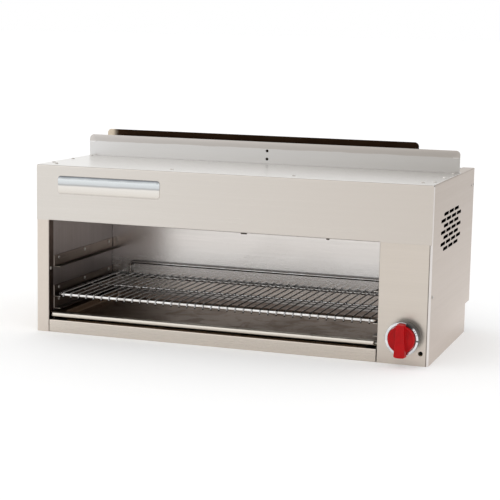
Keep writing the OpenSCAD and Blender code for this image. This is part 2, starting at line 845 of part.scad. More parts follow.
module front_burner_support() {
    color([0.48, 0.46, 0.44]) at_front() along_x(cav_l, cav_r) {
        translate([support_y, shelf_z]) angle_bar(support_shelf, support_h);
    }
}

module rear_burner_support() {
    color([0.48, 0.46, 0.44]) at_front() along_x(cav_l, cav_r) {
        translate([foot_y, shelf_z]) mirror([1, 0]) angle_bar(burner_gap_b + support_lap, support_h);
    }
}

// a clip that carries a screen's bar: it hangs from a support, y0 is its upright and y1 its toe
module clip(x, w, y0, y1, drop) {
    s = sign(y1 - y0);
    low = shelf_z - screen_t - sheet;
    block([x - w / 2, min(y0, y0 + s * sheet), shelf_z - drop], [x + w / 2, max(y0, y0 + s * sheet), shelf_z]);
    block([x - w / 2, min(y0, y1), low], [x + w / 2, max(y0, y1), low + sheet]);
}

module screen_clips() {
    short = screen_t + sheet;
    back = burner_back - 2;
    color([0.25, 0.22, 0.20]) at_front() for (i = [0, 1]) {
        lx = left_burner_x + clip_x + i * clip_step;
        rx = right_burner_x + clip_x + i * clip_step;
        clip(lx, 14, support_y + bend_r, burner_y + 8, short);
        clip(rx, 14 - 7 * i, support_y + bend_r, burner_y + 8, clip_drop);
        for (x = [lx, rx]) clip(x, 14, back + 2, back - 6, short);
    }
}

// a sheet box open below, with a lip that the plaques lie on and an inlet in its roof
module burner_box(x, inlet_x, inlet_y) {
    hi = [x + burner_w, burner_back, burner_z + burner_h];
    color([0.60, 0.60, 0.58]) at_front() difference() {
        block([x, burner_y, burner_z], hi);
        block([x + sheet, burner_y + sheet, burner_z + sheet], hi - [sheet, sheet, sheet]);
        block([x + lip_w, burner_y + lip_w, burner_z - 1], [hi.x - lip_w, hi.y - lip_w, burner_z + 2 * sheet]);
        rod_z(hi.z - 2 * sheet, hi.z + 1, inlet_x, inlet_y, mixer_r - sheet);
    }
}

module plaques(x) {
    in_x = x + sheet + plaque_gap;
    in_y = burner_y + sheet + plaque_gap;
    dx = (burner_w - 2 * sheet - plaque_gap) / plaques_x;
    dy = (burner_d - 2 * sheet - plaque_gap) / plaques_y;
    z = burner_z + sheet;
    color([0.90, 0.86, 0.78]) at_front() for (i = [0 : plaques_x - 1], j = [0 : plaques_y - 1]) {
        lo = [in_x + i * dx, in_y + j * dy, z];
        block(lo, lo + [dx - plaque_gap, dy - plaque_gap, plaque_t]);
    }
}

// a flat frame with rods across it, under the plaques
module screen(x) {
    z0 = shelf_z - screen_t;
    y0 = burner_y + 2;
    y1 = burner_back - 2;
    n = floor((burner_w - 2 * screen_bar) / screen_pitch);
    color([0.35, 0.31, 0.28]) at_front() {
        difference() {
            block([x + 2, y0, z0], [x + burner_w - 2, y1, shelf_z]);
            translate([0, 0, z0 - 1]) linear_extrude(screen_t + 2) {
                translate([x + 2 + screen_bar, y0 + screen_bar]) {
                    square([burner_w - 4 - 2 * screen_bar, y1 - y0 - 2 * screen_bar]);
                }
            }
        }
        for (i = [-(n - 1) / 2 : (n - 1) / 2]) {
            rod_x = x + burner_w / 2 + i * screen_pitch;
            rod_y(y0 + screen_bar - 1, y1 - screen_bar + 1, rod_x, z0 + screen_t / 2, 0.9);
        }
    }
}

left_inlet_x = left_burner_x + burner_w - elbow_in;
right_inlet_x = right_burner_x + burner_w - elbow_in;

module left_burner() burner_box(left_burner_x, left_inlet_x, mixer_y2);
module right_burner() burner_box(right_burner_x, right_inlet_x, mixer_y1);
module left_plaques() plaques(left_burner_x);
module right_plaques() plaques(right_burner_x);
module left_screen() screen(left_burner_x);
module right_screen() screen(right_burner_x);

// a mixing tube: bell mouth in the control space, elbow down into the burner's roof
module tube_solid(inlet_x, r, bell_r, over) {
    low = burner_z + burner_h;
    rod_x(inlet_x + mixer_lift - 0.2, mouth_x + 0.2, 0, mix_z, r);
    translate([mouth_x, 0, mix_z]) rotate([0, 90, 0]) cylinder(h = bell_l + over, r1 = r, r2 = bell_r + over);
    translate([inlet_x + mixer_lift, 0, low]) rotate([90, 0, 0]) rotate(90) rod_turn(mixer_lift, r);
}

module mixing_tube(inlet_x, y) {
    color([0.52, 0.52, 0.51]) at_front() translate([0, y, 0]) difference() {
        tube_solid(inlet_x, mixer_r, mixer_r + 4, 0);
        tube_solid(inlet_x, mixer_r - sheet, mixer_r + 4 - sheet, 0.01);
    }
}

module left_mixing_tube() mixing_tube(left_inlet_x, mixer_y2);
module right_mixing_tube() mixing_tube(right_inlet_x, mixer_y1);

// ---------- gas train ----------

module manifold() {
    spud_x = spud_tip + 14;
    end_y = mixer_y2 + 18;
    color([0.32, 0.32, 0.33]) at_front() {
        rod_z(valve_top, mix_z, kx, rise_y, manifold_r);
        translate([kx, rise_y, mix_z]) sphere(r = manifold_r + 1.5);
        rod_y(rise_y, end_y, kx, mix_z, manifold_r);
        rod_y(end_y - 14, end_y, kx, mix_z, manifold_r + 2);
        for (y = [mixer_y1, mixer_y2]) rod_x(spud_x, kx, y, mix_z, 8);
    }
}

module orifices() {
    color([0.80, 0.65, 0.35]) at_front() for (y = [mixer_y1, mixer_y2]) {
        translate([spud_tip, y, mix_z]) rotate([0, 90, 0]) {
            cylinder(h = 5, r1 = 3, r2 = 5);
            translate([0, 0, 5]) cylinder(h = 9, r = 7, $fn = 6);
        }
    }
}

module gas_valve() {
    half_w = valve_w / 2;
    half_h = valve_h / 2;
    color([0.62, 0.60, 0.55]) at_front() difference() {
        union() {
            block([kx - half_w, valve_front, knob_z - half_h], [kx + half_w, valve_back, knob_z + half_h]);
            rod_y(panel_back, valve_front, kx, knob_z, neck_r);
            block([kx - collar_r, valve_back - 5, knob_z], [kx + collar_r, rise_y + collar_r, valve_top]);
            block([boss_x - boss_w, pilot_mid, pilot_z], [boss_x, pilot_mid + boss_d, knob_z]);
        }
        rod_y(panel_back - 1, valve_back - 8, kx, knob_z, stem_r + turn_gap);
    }
}

module valve_stem() {
    color([0.72, 0.70, 0.66]) at_front() rod_y(disc_y + 4, valve_back - 9, kx, knob_z, stem_r);
}

// a plate between the opening's fold at x and the right side, with a screwed tab at each end
module brace(left, down) {
    right = side_x - sheet;
    plate_y = valve_front - sheet;
    tab_top = side_screw_z + tab_h;
    difference() {
        union() {
            block([left, plate_y, side_screw_z - down], [right, valve_front, tab_top]);
            block([left, panel_back + 2, side_screw_z - tab_h], [left + sheet, plate_y, tab_top]);
            block([right - sheet, plate_y, side_screw_z - tab_h], [right, side_screw_y + 7, tab_top]);
        }
        rod_x(left - 1, left + sheet + 1, bolt_y, side_screw_z, hole_r);
        rod_x(right - 2 * sheet, right + 1, side_screw_y, side_screw_z, hole_r);
    }
}

module post_brace() {
    color([0.62, 0.62, 0.60]) at_front() mirror([1, 0, 0]) brace(side_x - stile_w + sheet, tab_h);
}

// the brace behind the control panel also carries the valve
module valve_bracket() {
    color([0.62, 0.62, 0.60]) at_front() difference() {
        brace(cav_r + sheet, side_screw_z - knob_z + tab_h);
        rod_y(panel_back, valve_front + 1, kx, knob_z, neck_r + 0.3);
    }
}

module inlet_pipe() {
    color([0.25, 0.25, 0.26]) at_front() {
        rod_y(rise_y, pipe_end, kx, pipe_z, pipe_r);
        translate([kx, rise_y, pipe_z]) sphere(r = pipe_r + 1.5);
        rod_z(pipe_z, knob_z, kx, rise_y, pipe_r);
        rod_y(step_y, step_y + pipe_nut_t, kx, pipe_z, pipe_r + 6);
    }
}

// ---------- knob ----------

module knob_grip() {
    rise = grip_up + grip_down;
    intersection() {
        polygon([[-grip_low / 2, -grip_down], [grip_low / 2, -grip_down],
            [grip_top / 2, grip_up], [-grip_top / 2, grip_up]]);
        translate([0, (grip_up - grip_down) / 2]) circle(r = rise / 2);
    }
}

module knob() {
    disc_back = face_y - bezel_d + 2;
    color([0.74, 0.11, 0.13]) at_front() translate([kx, 0, knob_z]) difference() {
        union() {
            along_y(disc_y + 1.5, disc_back) circle(r = knob_r);
            translate([0, disc_y + 1.5, 0]) rotate([90, 0, 0])
                cylinder(h = 1.5, r1 = knob_r, r2 = knob_r - 1.5);
            along_y(disc_back, face_y - 6) circle(r = stem_r + 6);
            along_y(handle_y, disc_y) knob_grip();
        }
        along_y(disc_y + 4, face_y) circle(r = stem_r + 0.02);
    }
}

module knob_bezel() {
    front = face_y - bezel_d;
    color([0.88, 0.89, 0.90]) at_front() translate([kx, 0, knob_z]) difference() {
        union() {
            along_y(front + 2, face_y) circle(r = bezel_r - 1.5);
            along_y(front, front + 2) circle(r = bezel_r);
        }
        along_y(front + 2, face_y - bezel_t) circle(r = bezel_r - 1.5 - bezel_t);
        along_y(front - 1, front + 3) circle(r = knob_r + bezel_play);
        along_y(front, face_y + 1) circle(r = stem_r + 2);
    }
}

// ---------- pilot ----------

module pilot_valve() {
    top = pilot_z + 10;
    color([0.78, 0.66, 0.40]) at_front() difference() {
        union() {
            block([px - 10, pilot_front, pilot_z - 10], [px + 10, pilot_back, top]);
            rod_x(boss_x, px - 10, pilot_mid + boss_d / 2, pilot_z + 4, 4);
        }
        rod_y(pilot_front - 1, pilot_front + 16, px, pilot_z, pilot_screw_r + turn_gap);
    }
}

module pilot_adjuster() {
    color([0.70, 0.68, 0.62]) at_front() difference() {
        rod_y(pilot_front - 2, pilot_front + 15, px, pilot_z, pilot_screw_r);
        block([px - 0.6, pilot_front - 3, pilot_z - 9], [px + 0.6, pilot_front - 0.5, pilot_z + 9]);
    }
}

module pilot_tube() {
    r = pilot_tube_r;
    low = pilot_z + 10;
    bend = r + 0.3;
    end_x = cav_r - burner_gap_r / 2;
    color([0.78, 0.62, 0.36]) at_front() {
        rod_z(low, pilot_cross_z, px, pilot_up_y, r);
        translate([px, pilot_up_y, pilot_cross_z]) sphere(r = bend);
        rod_y(pilot_up_y, pilot_y, px, pilot_cross_z, r);
        translate([px, pilot_y, pilot_cross_z]) sphere(r = bend);
        rod_x(end_x, px, pilot_y, pilot_cross_z, r);
        translate([end_x, pilot_y, pilot_cross_z]) sphere(r = bend);
        rod_z(burner_z + 14, pilot_cross_z, end_x, pilot_y, r);
    }
}

module pilot_burner() {
    x = cav_r - burner_gap_r / 2;
    color([0.45, 0.44, 0.43]) at_front() {
        rod_z(burner_z - 2, burner_z + 14, x, pilot_y, 5);
        block([x, pilot_y - 6, burner_z + 2], [cav_r, pilot_y + 6, burner_z + 2 + sheet]);
        block([cav_r - sheet, pilot_y - 6, burner_z + 2], [cav_r, pilot_y + 6, burner_z + 16]);
        block([x - burner_gap_r / 2 + 4, pilot_y - 5, burner_z - 2], [x, pilot_y + 5, burner_z]);
    }
}

// ---------- nameplate and fasteners ----------

module nameplate() {
    color([0.86, 0.87, 0.88]) at_front() {
        translate([-side_x + plate_x + plate_w / 2, 0, body_h - plate_down]) {
            along_y(-plate_t, 0) rounded(plate_w, plate_h, 7);
            along_y(-plate_t - 1, -plate_t) rounded(plate_w - 5, plate_h - 5, 5);
        }
    }
}

module top_screws() {
    grip = 2 * sheet + 3;
    color([0.80, 0.77, 0.72]) at_front() {
        for (x = row_xs) translate([x, row_y, body_h]) screw(grip);
        for (s = [-1, 1], y = col_ys) translate([s * (side_x - col_x), y, body_h]) screw(grip);
    }
}

module riser_screws() {
    color([0.72, 0.72, 0.71]) at_front() for (x = riser_xs) {
        translate([x, foot_y - riser_foot / 2, body_h + sheet]) screw(2 * sheet + 3);
    }
}

// screws into the sides' front edges, and bolts through the folds beside the opening
module side_screws() {
    grip = 2 * sheet + 3;
    color([0.66, 0.62, 0.56]) at_front() {
        for (s = [0, 1]) mirror([s, 0, 0]) {
            translate([side_x, side_screw_y, side_screw_z]) rotate([0, 90, 0]) screw(grip);
        }
        translate([cav_l, bolt_y, side_screw_z]) rotate([0, 90, 0]) screw(grip);
        translate([cav_r, bolt_y, side_screw_z]) rotate([0, -90, 0]) screw(grip);
    }
}

module back_screws() {
    color([0.66, 0.66, 0.65]) at_front() for (s = [-1, 1], z = back_zs) {
        translate([s * (side_x - flange_w / 2), body_d, z]) rotate([-90, 0, 0]) screw(2 * sheet + 3);
    }
}

module guide_screws() {
    grip = 2 * sheet + 2;
    zs = [guide_low_z + guide_screw_z, guide_mid_z + guide_screw_z, guide_top_z + guide_screw_z, ledge_screw_z];
    color([0.70, 0.71, 0.72]) at_front() for (y = guide_ys, z = zs) {
        translate([cav_l + sheet, y, z]) rotate([0, 90, 0]) screw(grip);
        translate([cav_r - sheet, y, z]) rotate([0, -90, 0]) screw(grip);
    }
}

left_side_panel();
right_side_panel();
hood();
control_panel();
front_rail();
base_pan();
back_panel();
top_panel();
riser_plate();
flue_rear_plate();
flue_front_wall();
left_cavity_wall();
right_cavity_wall();
rear_cavity_wall();
left_insulation();
right_insulation();
top_insulation();
left_upper_guide();
left_rack_guide();
left_lower_guide();
left_tray_ledge();
right_upper_guide();
right_rack_guide();
right_lower_guide();
right_tray_ledge();
rack_grid();
rack_stop();
drip_tray();
front_burner_support();
rear_burner_support();
screen_clips();
left_burner();
right_burner();
left_plaques();
right_plaques();
left_screen();
right_screen();
left_mixing_tube();
right_mixing_tube();
manifold();
orifices();
gas_valve();
valve_stem();
valve_bracket();
post_brace();
inlet_pipe();
knob();
knob_bezel();
pilot_valve();
pilot_adjuster();
pilot_tube();
pilot_burner();
nameplate();
top_screws();
riser_screws();
side_screws();
back_screws();
guide_screws();
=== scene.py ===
"""Looks of a wall-mounted cheese melter: a folded steel casing with an open front,
radiant gas burners under its roof, a wire rack, a drip tray and one red knob."""

import json
import math
import random

import bmesh
import bpy
from mathutils import Matrix, Vector, noise

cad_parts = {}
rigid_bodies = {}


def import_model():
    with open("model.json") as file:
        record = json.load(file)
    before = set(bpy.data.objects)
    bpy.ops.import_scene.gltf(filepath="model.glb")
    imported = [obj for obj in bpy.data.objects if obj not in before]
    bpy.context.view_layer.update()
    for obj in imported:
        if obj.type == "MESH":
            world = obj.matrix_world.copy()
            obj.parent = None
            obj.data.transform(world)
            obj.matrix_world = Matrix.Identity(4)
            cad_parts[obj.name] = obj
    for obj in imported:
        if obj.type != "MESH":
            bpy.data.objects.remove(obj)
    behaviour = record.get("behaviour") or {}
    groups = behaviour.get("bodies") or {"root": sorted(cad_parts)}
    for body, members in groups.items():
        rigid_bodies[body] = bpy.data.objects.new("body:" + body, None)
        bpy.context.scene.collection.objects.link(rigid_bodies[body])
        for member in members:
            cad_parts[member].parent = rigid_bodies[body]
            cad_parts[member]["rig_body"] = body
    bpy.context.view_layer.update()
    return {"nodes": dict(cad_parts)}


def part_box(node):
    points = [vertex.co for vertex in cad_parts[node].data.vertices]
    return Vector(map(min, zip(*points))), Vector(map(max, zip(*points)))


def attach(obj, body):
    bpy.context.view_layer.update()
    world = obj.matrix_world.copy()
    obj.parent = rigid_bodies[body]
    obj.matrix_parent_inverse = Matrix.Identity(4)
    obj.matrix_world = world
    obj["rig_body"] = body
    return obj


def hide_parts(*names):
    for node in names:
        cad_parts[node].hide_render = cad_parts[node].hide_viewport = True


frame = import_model()

# ---- Studio ----
# A plain pale floor under plain soft light. The camera stands a little right of the
# front and above it, and rolls a degree, as the photograph's did.

CAMERA_TURN = math.radians(18.94)
CAMERA_RISE = math.radians(8.646)
CAMERA_ROLL = math.radians(1.117)
CAMERA_AWAY = 3.1504
CAMERA_AIM = Vector((0.0576, -0.2036, 0.2221))
CAMERA_LENS = 104.81
SENSOR_WIDTH = 36.0
WHITE = (1.0, 1.0, 1.0, 1.0)
FLOOR_WHITE = (0.93, 0.93, 0.93, 1.0)
FLOOR_GLOW = 0.11
FLOOR_REACH = 120.0
WORLD_LIGHT = 0.86
ROOM_FALL = (-0.35, 0.06, 0.03)

stage = bpy.context.scene
stage.view_settings.view_transform = "Standard"


def feed(socket, value):
    """Gives a node's input a value, or links another node's output to it."""
    if isinstance(value, bpy.types.NodeSocket):
        value.id_data.links.new(value, socket)
    else:
        socket.default_value = value


def put(tree, kind, sockets=None, **settings):
    """A new shader node with its settings and what feeds its inputs. Returns its outputs."""
    made = tree.nodes.new("ShaderNode" + kind)
    for key, value in settings.items():
        setattr(made, key, value)
    for key, value in (sockets or {}).items():
        feed(made.inputs[key], value)
    return made.outputs


def calc(operation, first, *others):
    """Math nodes in a row: the operation on the first value and each of the others."""
    tree = next(v.id_data for v in (first, *others) if isinstance(v, bpy.types.NodeSocket))
    if not others:
        return put(tree, "Math", {0: first}, operation=operation)[0]
    for other in others:
        first = put(tree, "Math", {0: first, 1: other}, operation=operation)[0]
    return first


def plus(*values):
    return calc("ADD", *values)


def times(*values):
    return calc("MULTIPLY", *values)


def most(*values):
    """The largest of those values."""
    return calc("MAXIMUM", *values)


def stand(name, data):
    """A new object with that data, in the scene."""
    made = bpy.data.objects.new(name, data)
    stage.collection.objects.link(made)
    return made


def point_camera():
    data = bpy.data.cameras.new("camera")
    data.lens = CAMERA_LENS
    data.sensor_width = SENSOR_WIDTH
    back = Vector((
        math.sin(CAMERA_TURN) * math.cos(CAMERA_RISE),
        -math.cos(CAMERA_TURN) * math.cos(CAMERA_RISE),
        math.sin(CAMERA_RISE),
    ))
    level = Vector((math.cos(CAMERA_TURN), math.sin(CAMERA_TURN), 0.0))
    upright = back.cross(level)
    c, s = math.cos(CAMERA_ROLL), math.sin(CAMERA_ROLL)
    turn = Matrix((level * c + upright * s, upright * c - level * s, back)).transposed().to_4x4()
    stage.camera = stand("camera", data)
    stage.camera.matrix_world = Matrix.Translation(CAMERA_AIM + back * CAMERA_AWAY) @ turn


def soft_lamp(name, towards, strength, spread, tone):
    """A broad soft light from one direction, like a large panel far away."""
    data = bpy.data.lights.new(name, "SUN")
    data.energy = strength
    data.angle = math.radians(spread)
    data.color = tone
    stand(name, data).rotation_euler = Vector(towards).to_track_quat("Z", "Y").to_euler()


def light_world():
    """Even white light. Metal sees a white room that falls off towards the right."""
    world = bpy.data.worlds.new("studio")
    world.use_nodes = True
    tree = world.node_tree
    tree.nodes.clear()
    path = put(tree, "LightPath")
    seen = most(path["Is Camera Ray"], path["Is Transmission Ray"])
    way = put(tree, "TexCoord")["Generated"]
    fall = put(tree, "VectorMath", {0: way, 1: ROOM_FALL}, operation="DOT_PRODUCT")["Value"]
    room = times(fall, path["Is Glossy Ray"])
    level = plus(times(seen, 1.0 - WORLD_LIGHT), room, WORLD_LIGHT)
    light = put(tree, "Background", {"Color": WHITE, "Strength": level})[0]
    put(tree, "OutputWorld", {"Surface": light})
    stage.world = world


def lay_floor():
    mesh = bpy.data.meshes.new("floor")
    corners = [(x * FLOOR_REACH, y * FLOOR_REACH, 0) for x, y in ((-1, -1), (1, -1), (1, 1), (-1, 1))]
    mesh.from_pydata(corners, [], [(0, 1, 2, 3)])
    paint = bpy.data.materials.new("pale_floor")
    paint.use_nodes = True
    shader = paint.node_tree.nodes["Principled BSDF"].inputs
    shader["Base Color"].default_value = FLOOR_WHITE
    shader["Roughness"].default_value = 0.9
    shader["Specular IOR Level"].default_value = 0.0
    shader["Emission Color"].default_value = WHITE
    path = put(paint.node_tree, "LightPath")
    seen = most(path["Is Camera Ray"], path["Is Glossy Ray"])
    feed(shader["Emission Strength"], times(seen, FLOOR_GLOW))
    mesh.materials.append(paint)
    stand("floor", mesh)


point_camera()
light_world()
lay_floor()
soft_lamp("lamp_left", (-0.60, -0.75, 0.85), 0.28, 70.0, (1.0, 0.985, 0.96))
soft_lamp("lamp_right", (0.80, -0.60, 0.55), 0.20, 60.0, (1.0, 0.985, 0.97))
soft_lamp("lamp_top", (0.10, 0.45, 1.0), 0.25, 90.0, (0.97, 0.985, 1.0))

# ---- Hood ----
# The wide front panel over the opening: one stainless sheet, brushed along its length,
# folded back at the top and bottom and screwed down along the top edge.

ALONG_X = (11.0, 1500.0, 1500.0)
ALONG_Y = (1500.0, 11.0, 1500.0)
ALONG_Z = (1500.0, 1500.0, 11.0)


def less(*values):
    """The first value less the others."""
    return calc("SUBTRACT", *values)


def shade(red, green, blue):
    """A colour as it looks on a screen, 0 to 255, as the light values that a shader takes."""
    return [((v / 255 + 0.055) / 1.055) ** 2.4 for v in (red, green, blue)] + [1.0]


def part(vector, axis):
    """One coordinate of a place or a direction."""
    return put(vector.id_data, "SeparateXYZ", {0: vector})[axis]


def cloud(where, size, detail=3.0, rough=0.55, twist=0.0):
    """Soft noise from 0 to 1 at those coordinates."""
    return put(where.id_data, "TexNoise", {
        "Vector": where, "Scale": size, "Detail": detail, "Roughness": rough, "Distortion": twist})["Fac"]


def ramp(value, start, end, low=0.0, high=1.0, **settings):
    """A value carried from one range to another, and held at its ends."""
    ranges = {0: value, 1: start, 2: end, 3: low, 4: high}
    return put(value.id_data, "MapRange", ranges, **settings)[0]


def within(value, rise, fall):
    """A mask that rises over one pair of values and falls again over the other."""
    return times(ramp(value, *rise), ramp(value, *fall, 1.0, 0.0))


def between(mask, low, high):
    """A mix of two colours by a mask: screen colours, or the outputs of nodes."""
    low, high = (v if isinstance(v, bpy.types.NodeSocket) else shade(*v) for v in (low, high))
    return put(mask.id_data, "Mix", {0: mask, 6: low, 7: high}, data_type="RGBA")[2]


def tones(value, first, last, stops):
    """Screen colours by a value from 0 to 1: at its two ends and at the stops between."""
    made = put(value.id_data, "ValToRGB", {0: value})["Color"]
    points = made.node.color_ramp.elements
    points[0].color, points[1].color = shade(*first), shade(*last)
    for place, tone in stops:
        points.new(place).color = shade(*tone)
    return made


def effect(name, takes, gives):
    """An empty node group with named sockets: where it is on the object, its inputs and outputs."""
    tree = bpy.data.node_groups.new(name, "ShaderNodeTree")
    for label, kind, value in takes:
        socket = tree.interface.new_socket(label, in_out="INPUT", socket_type="NodeSocket" + kind)
        socket.default_value = value
    for label, kind in gives:
        tree.interface.new_socket(label, in_out="OUTPUT", socket_type="NodeSocket" + kind)
    takes, gives = tree.nodes.new("NodeGroupInput").outputs, tree.nodes.new("NodeGroupOutput").inputs
    return put(tree, "TexCoord")["Object"], takes, gives


def brushed_grain():
    """The scratches that a brushing belt leaves, fine lines and broader streaks."""
    here, takes, gives = effect(
        "brushed_grain", [("Stretch", "Vector", (12.0, 1700.0, 1700.0))],
        [("Tone", "Float"), ("Height", "Float")])
    tree = here.id_data
    fine_at = put(tree, "VectorMath", {0: here, 1: takes["Stretch"]}, operation="MULTIPLY")[0]
    broad_at = put(tree, "VectorMath", {0: fine_at, "Scale": 0.11}, operation="SCALE")[0]
    fine, broad = cloud(fine_at, 1.0, 5.0, 0.7), cloud(broad_at, 1.0, 4.0, 0.6)
    feed(gives["Tone"], ramp(plus(times(fine, 0.6), times(broad, 0.4)), 0.28, 0.72))
    feed(gives["Height"], fine)


def hand_marks():
    """Where the sheet has been wiped and handled: wide faint patches and a few rubs."""
    here, takes, gives = effect(
        "hand_marks", [("Size", "Float", 5.0), ("Cover", "Float", 0.5)], [("Marks", "Float")])
    strokes = {"Vector": here, "Rotation": (0.3, 0.5, 0.4), "Scale": (3.0, 14.0, 9.0)}
    patches = cloud(here, takes["Size"], 4.0, 0.6, 0.7)
    wipes = cloud(put(here.id_data, "Mapping", strokes)[0], takes["Size"], 5.0, 0.7)
    edge = less(0.75, times(takes["Cover"], 0.5))
    feed(gives["Marks"], ramp(plus(times(patches, 0.7), times(wipes, 0.3)), edge, plus(edge, 0.25)))


def edge_wear_and_shade():
    """A mask of the outer and inner edges, broken up, where a part is rubbed or holds dirt, and where
    painted shade lines the edges.
    """
    here, takes, gives = effect(
        "edge_wear_and_shade", [("Width", "Float", 0.0015), ("Breaks", "Float", 160.0)], [("Mask", "Float")])
    tree = here.id_data
    soft = put(tree, "Bevel", {"Radius": takes["Width"]}, samples=4)[0]
    true = put(tree, "NewGeometry")["Normal"]
    same = put(tree, "VectorMath", {0: soft, 1: true}, operation="DOT_PRODUCT")["Value"]
    grit = cloud(here, takes["Breaks"], 4.0, 0.5)
    broken = times(less(1.0, same), ramp(grit, 0.35, 0.6, 2.0, 9.0))
    feed(gives["Mask"], calc("MINIMUM", broken, 1.0))


def heat_tint():
    """The straw, brown and grey that heat leaves on steel, by height and in drifting patches."""
    here, takes, gives = effect(
        "heat_tint",
        [("Cool Below", "Float", 0.05), ("Hot Above", "Float", 0.30), ("Patches", "Float", 9.0)],
        [("Mask", "Float"), ("Tint", "Color")])
    drift = ramp(cloud(here, takes["Patches"], 5.0, 0.62, 1.1), 0.3, 0.7, -0.05, 0.05)
    lifted = plus(part(here, "Z"), drift)
    mask = ramp(lifted, takes["Cool Below"], takes["Hot Above"], interpolation_type="SMOOTHSTEP")
    tint = tones(mask, (196, 190, 182), (86, 76, 72), (
        (0.35, (186, 168, 140)), (0.6, (142, 116, 92)), (0.8, (104, 92, 96))))
    feed(gives["Mask"], mask)
    feed(gives["Tint"], tint)


brushed_grain()
hand_marks()
edge_wear_and_shade()
heat_tint()


class Finish:
    """A new node material. Its colour is built up in coats, each laid on by a mask."""

    def __init__(self, name, **sockets):
        self.material = bpy.data.materials.new(name)
        self.material.use_nodes = True
        self.tree = self.material.node_tree
        self.shader = self.tree.nodes["Principled BSDF"].inputs
        self.set(**sockets)

    def set(self, **sockets):
        """Gives the shader's sockets their values, or links nodes to them."""
        for name, value in sockets.items():
            feed(self.shader[name.replace("_", " ")], value)

    def given(self, name):
        """What is linked to one of the shader's sockets so far."""
        return self.shader[name].links[0].from_socket

    def here(self):
        return put(self.tree, "TexCoord")["Object"]

    def place(self, axis):
        return part(self.here(), axis)

    def facing(self, axis):
        """How far the surface faces along an axis, from -1 to 1."""
        return part(put(self.tree, "NewGeometry")["Normal"], axis)

    def use(self, name, **sockets):
        """Places one of the node groups and returns its outputs."""
        made = self.tree.nodes.new("ShaderNodeGroup")
        made.node_tree = bpy.data.node_groups[name]
        for key, value in sockets.items():
            made.inputs[key.replace("_", " ")].default_value = value
        return made.outputs

    def coat(self, mask, tone):
        """Lays a tone over the colour so far, where the mask says."""
        self.set(Base_Color=between(mask, self.given("Base Color"), tone))

    def raise_grain(self, height, depth):
        bump = put(self.tree, "Bump", {"Height": height, "Strength": 0.6, "Distance": depth})
        self.set(Normal=bump[0])


def steel(name, light, dark, rough, grain=ALONG_X, marks=0.35, patch=5.0, depth=0.00004,
          edge_wear_and_shade_tone=None, heat=None, painted_shading=None):
    """Sheet steel with its grain and handling. Its edges can go to a given colour, as wear
    or as painted shade along them; between two heights it can take a heat tint; and it can
    drift towards a tone along an axis, from one place to another, as painted light and shade."""
    made = Finish(name, Metallic=1.0)
    lines = made.use("brushed_grain", Stretch=grain)
    wiped = made.use("hand_marks", Size=patch, Cover=marks)["Marks"]
    body = less(lines["Tone"], times(wiped, 0.45))
    made.set(Base_Color=between(ramp(body, -0.2, 1.0), dark, light))
    if painted_shading:
        tone, axis, start, end = painted_shading
        made.coat(ramp(made.place(axis), start, end, 0.0, 0.75), tone)
    if heat:
        burnt = made.use("heat_tint", Cool_Below=heat[0], Hot_Above=heat[1])
        made.coat(times(burnt["Mask"], 0.85), burnt["Tint"])
    if edge_wear_and_shade_tone:
        made.coat(made.use("edge_wear_and_shade", Width=0.0012, Breaks=130.0)["Mask"], edge_wear_and_shade_tone)
    gloss = plus(times(lines["Tone"], -0.07), times(wiped, 0.08))
    made.set(Roughness=plus(gloss, rough + 0.03))
    made.raise_grain(lines["Height"], depth)
    return made


def add_piece(name, work, finish, node, sharp=40.0, replaces=True):
    """Puts a finished mesh in the scene. It rides with a CAD node, and takes its place."""
    bmesh.ops.recalc_face_normals(work, faces=work.faces)
    mesh = bpy.data.meshes.new(name)
    work.to_mesh(mesh)
    work.free()
    mesh.materials.append(finish.material)
    mesh.shade_smooth()
    mesh.set_sharp_from_angle(angle=math.radians(sharp))
    made = stand(name, mesh)
    even = made.modifiers.new("even shading", "WEIGHTED_NORMAL")
    even.keep_sharp = True
    even.weight = 100
    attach(made, frame["nodes"][node]["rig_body"])
    if replaces:
        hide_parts(node)
    return made


def solid_of(node):
    """A working copy of a CAD part's mesh, with its doubled points joined."""
    work = bmesh.new()
    work.from_mesh(frame["nodes"][node].data)
    bmesh.ops.remove_doubles(work, verts=work.verts, dist=2e-6)
    return work


def deburred(node, finish, width=0.00035, turn=28.0):
    """The CAD part again with its cut and folded edges rounded over, so that they catch light."""
    work = solid_of(node)
    bmesh.ops.dissolve_limit(
        work, angle_limit=math.radians(0.4), verts=work.verts, edges=work.edges,
        use_dissolve_boundaries=False)
    hard = [e for e in work.edges if e.is_manifold and e.calc_face_angle(0.0) > math.radians(turn)]
    bmesh.ops.bevel(
        work, geom=hard, offset=width, offset_type="OFFSET", segments=2, profile=0.5,
        affect="EDGES", clamp_overlap=False, loop_slide=False)
    low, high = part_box(node)
    for vert in work.verts:
        vert.co = [min(max(c, a), b) for c, a, b in zip(vert.co, low, high)]
    add_piece(node + "_finished", work, finish, node, sharp=50.0)


# the hood darkens towards its right end: painted shade
hood_steel = steel(
    "hood_steel", (217, 212, 206), (210, 205, 198), 0.30, marks=0.15, patch=3.0,
    painted_shading=((198, 189, 180), "X", -0.38, 0.46))
deburred("hood", hood_steel)

# ---- Side panels ----
# Each side is one sheet folded at the front and the back. The right one has louvres
# punched for the burner air, and both have a step at the lower back for the pipe.

# the field of louvres: its height, and its depth behind the hood's face
LOUVRES_UP = (0.224, 0.226), (0.324, 0.326)
LOUVRES_IN = (0.02, 0.03), (0.32, 0.33)


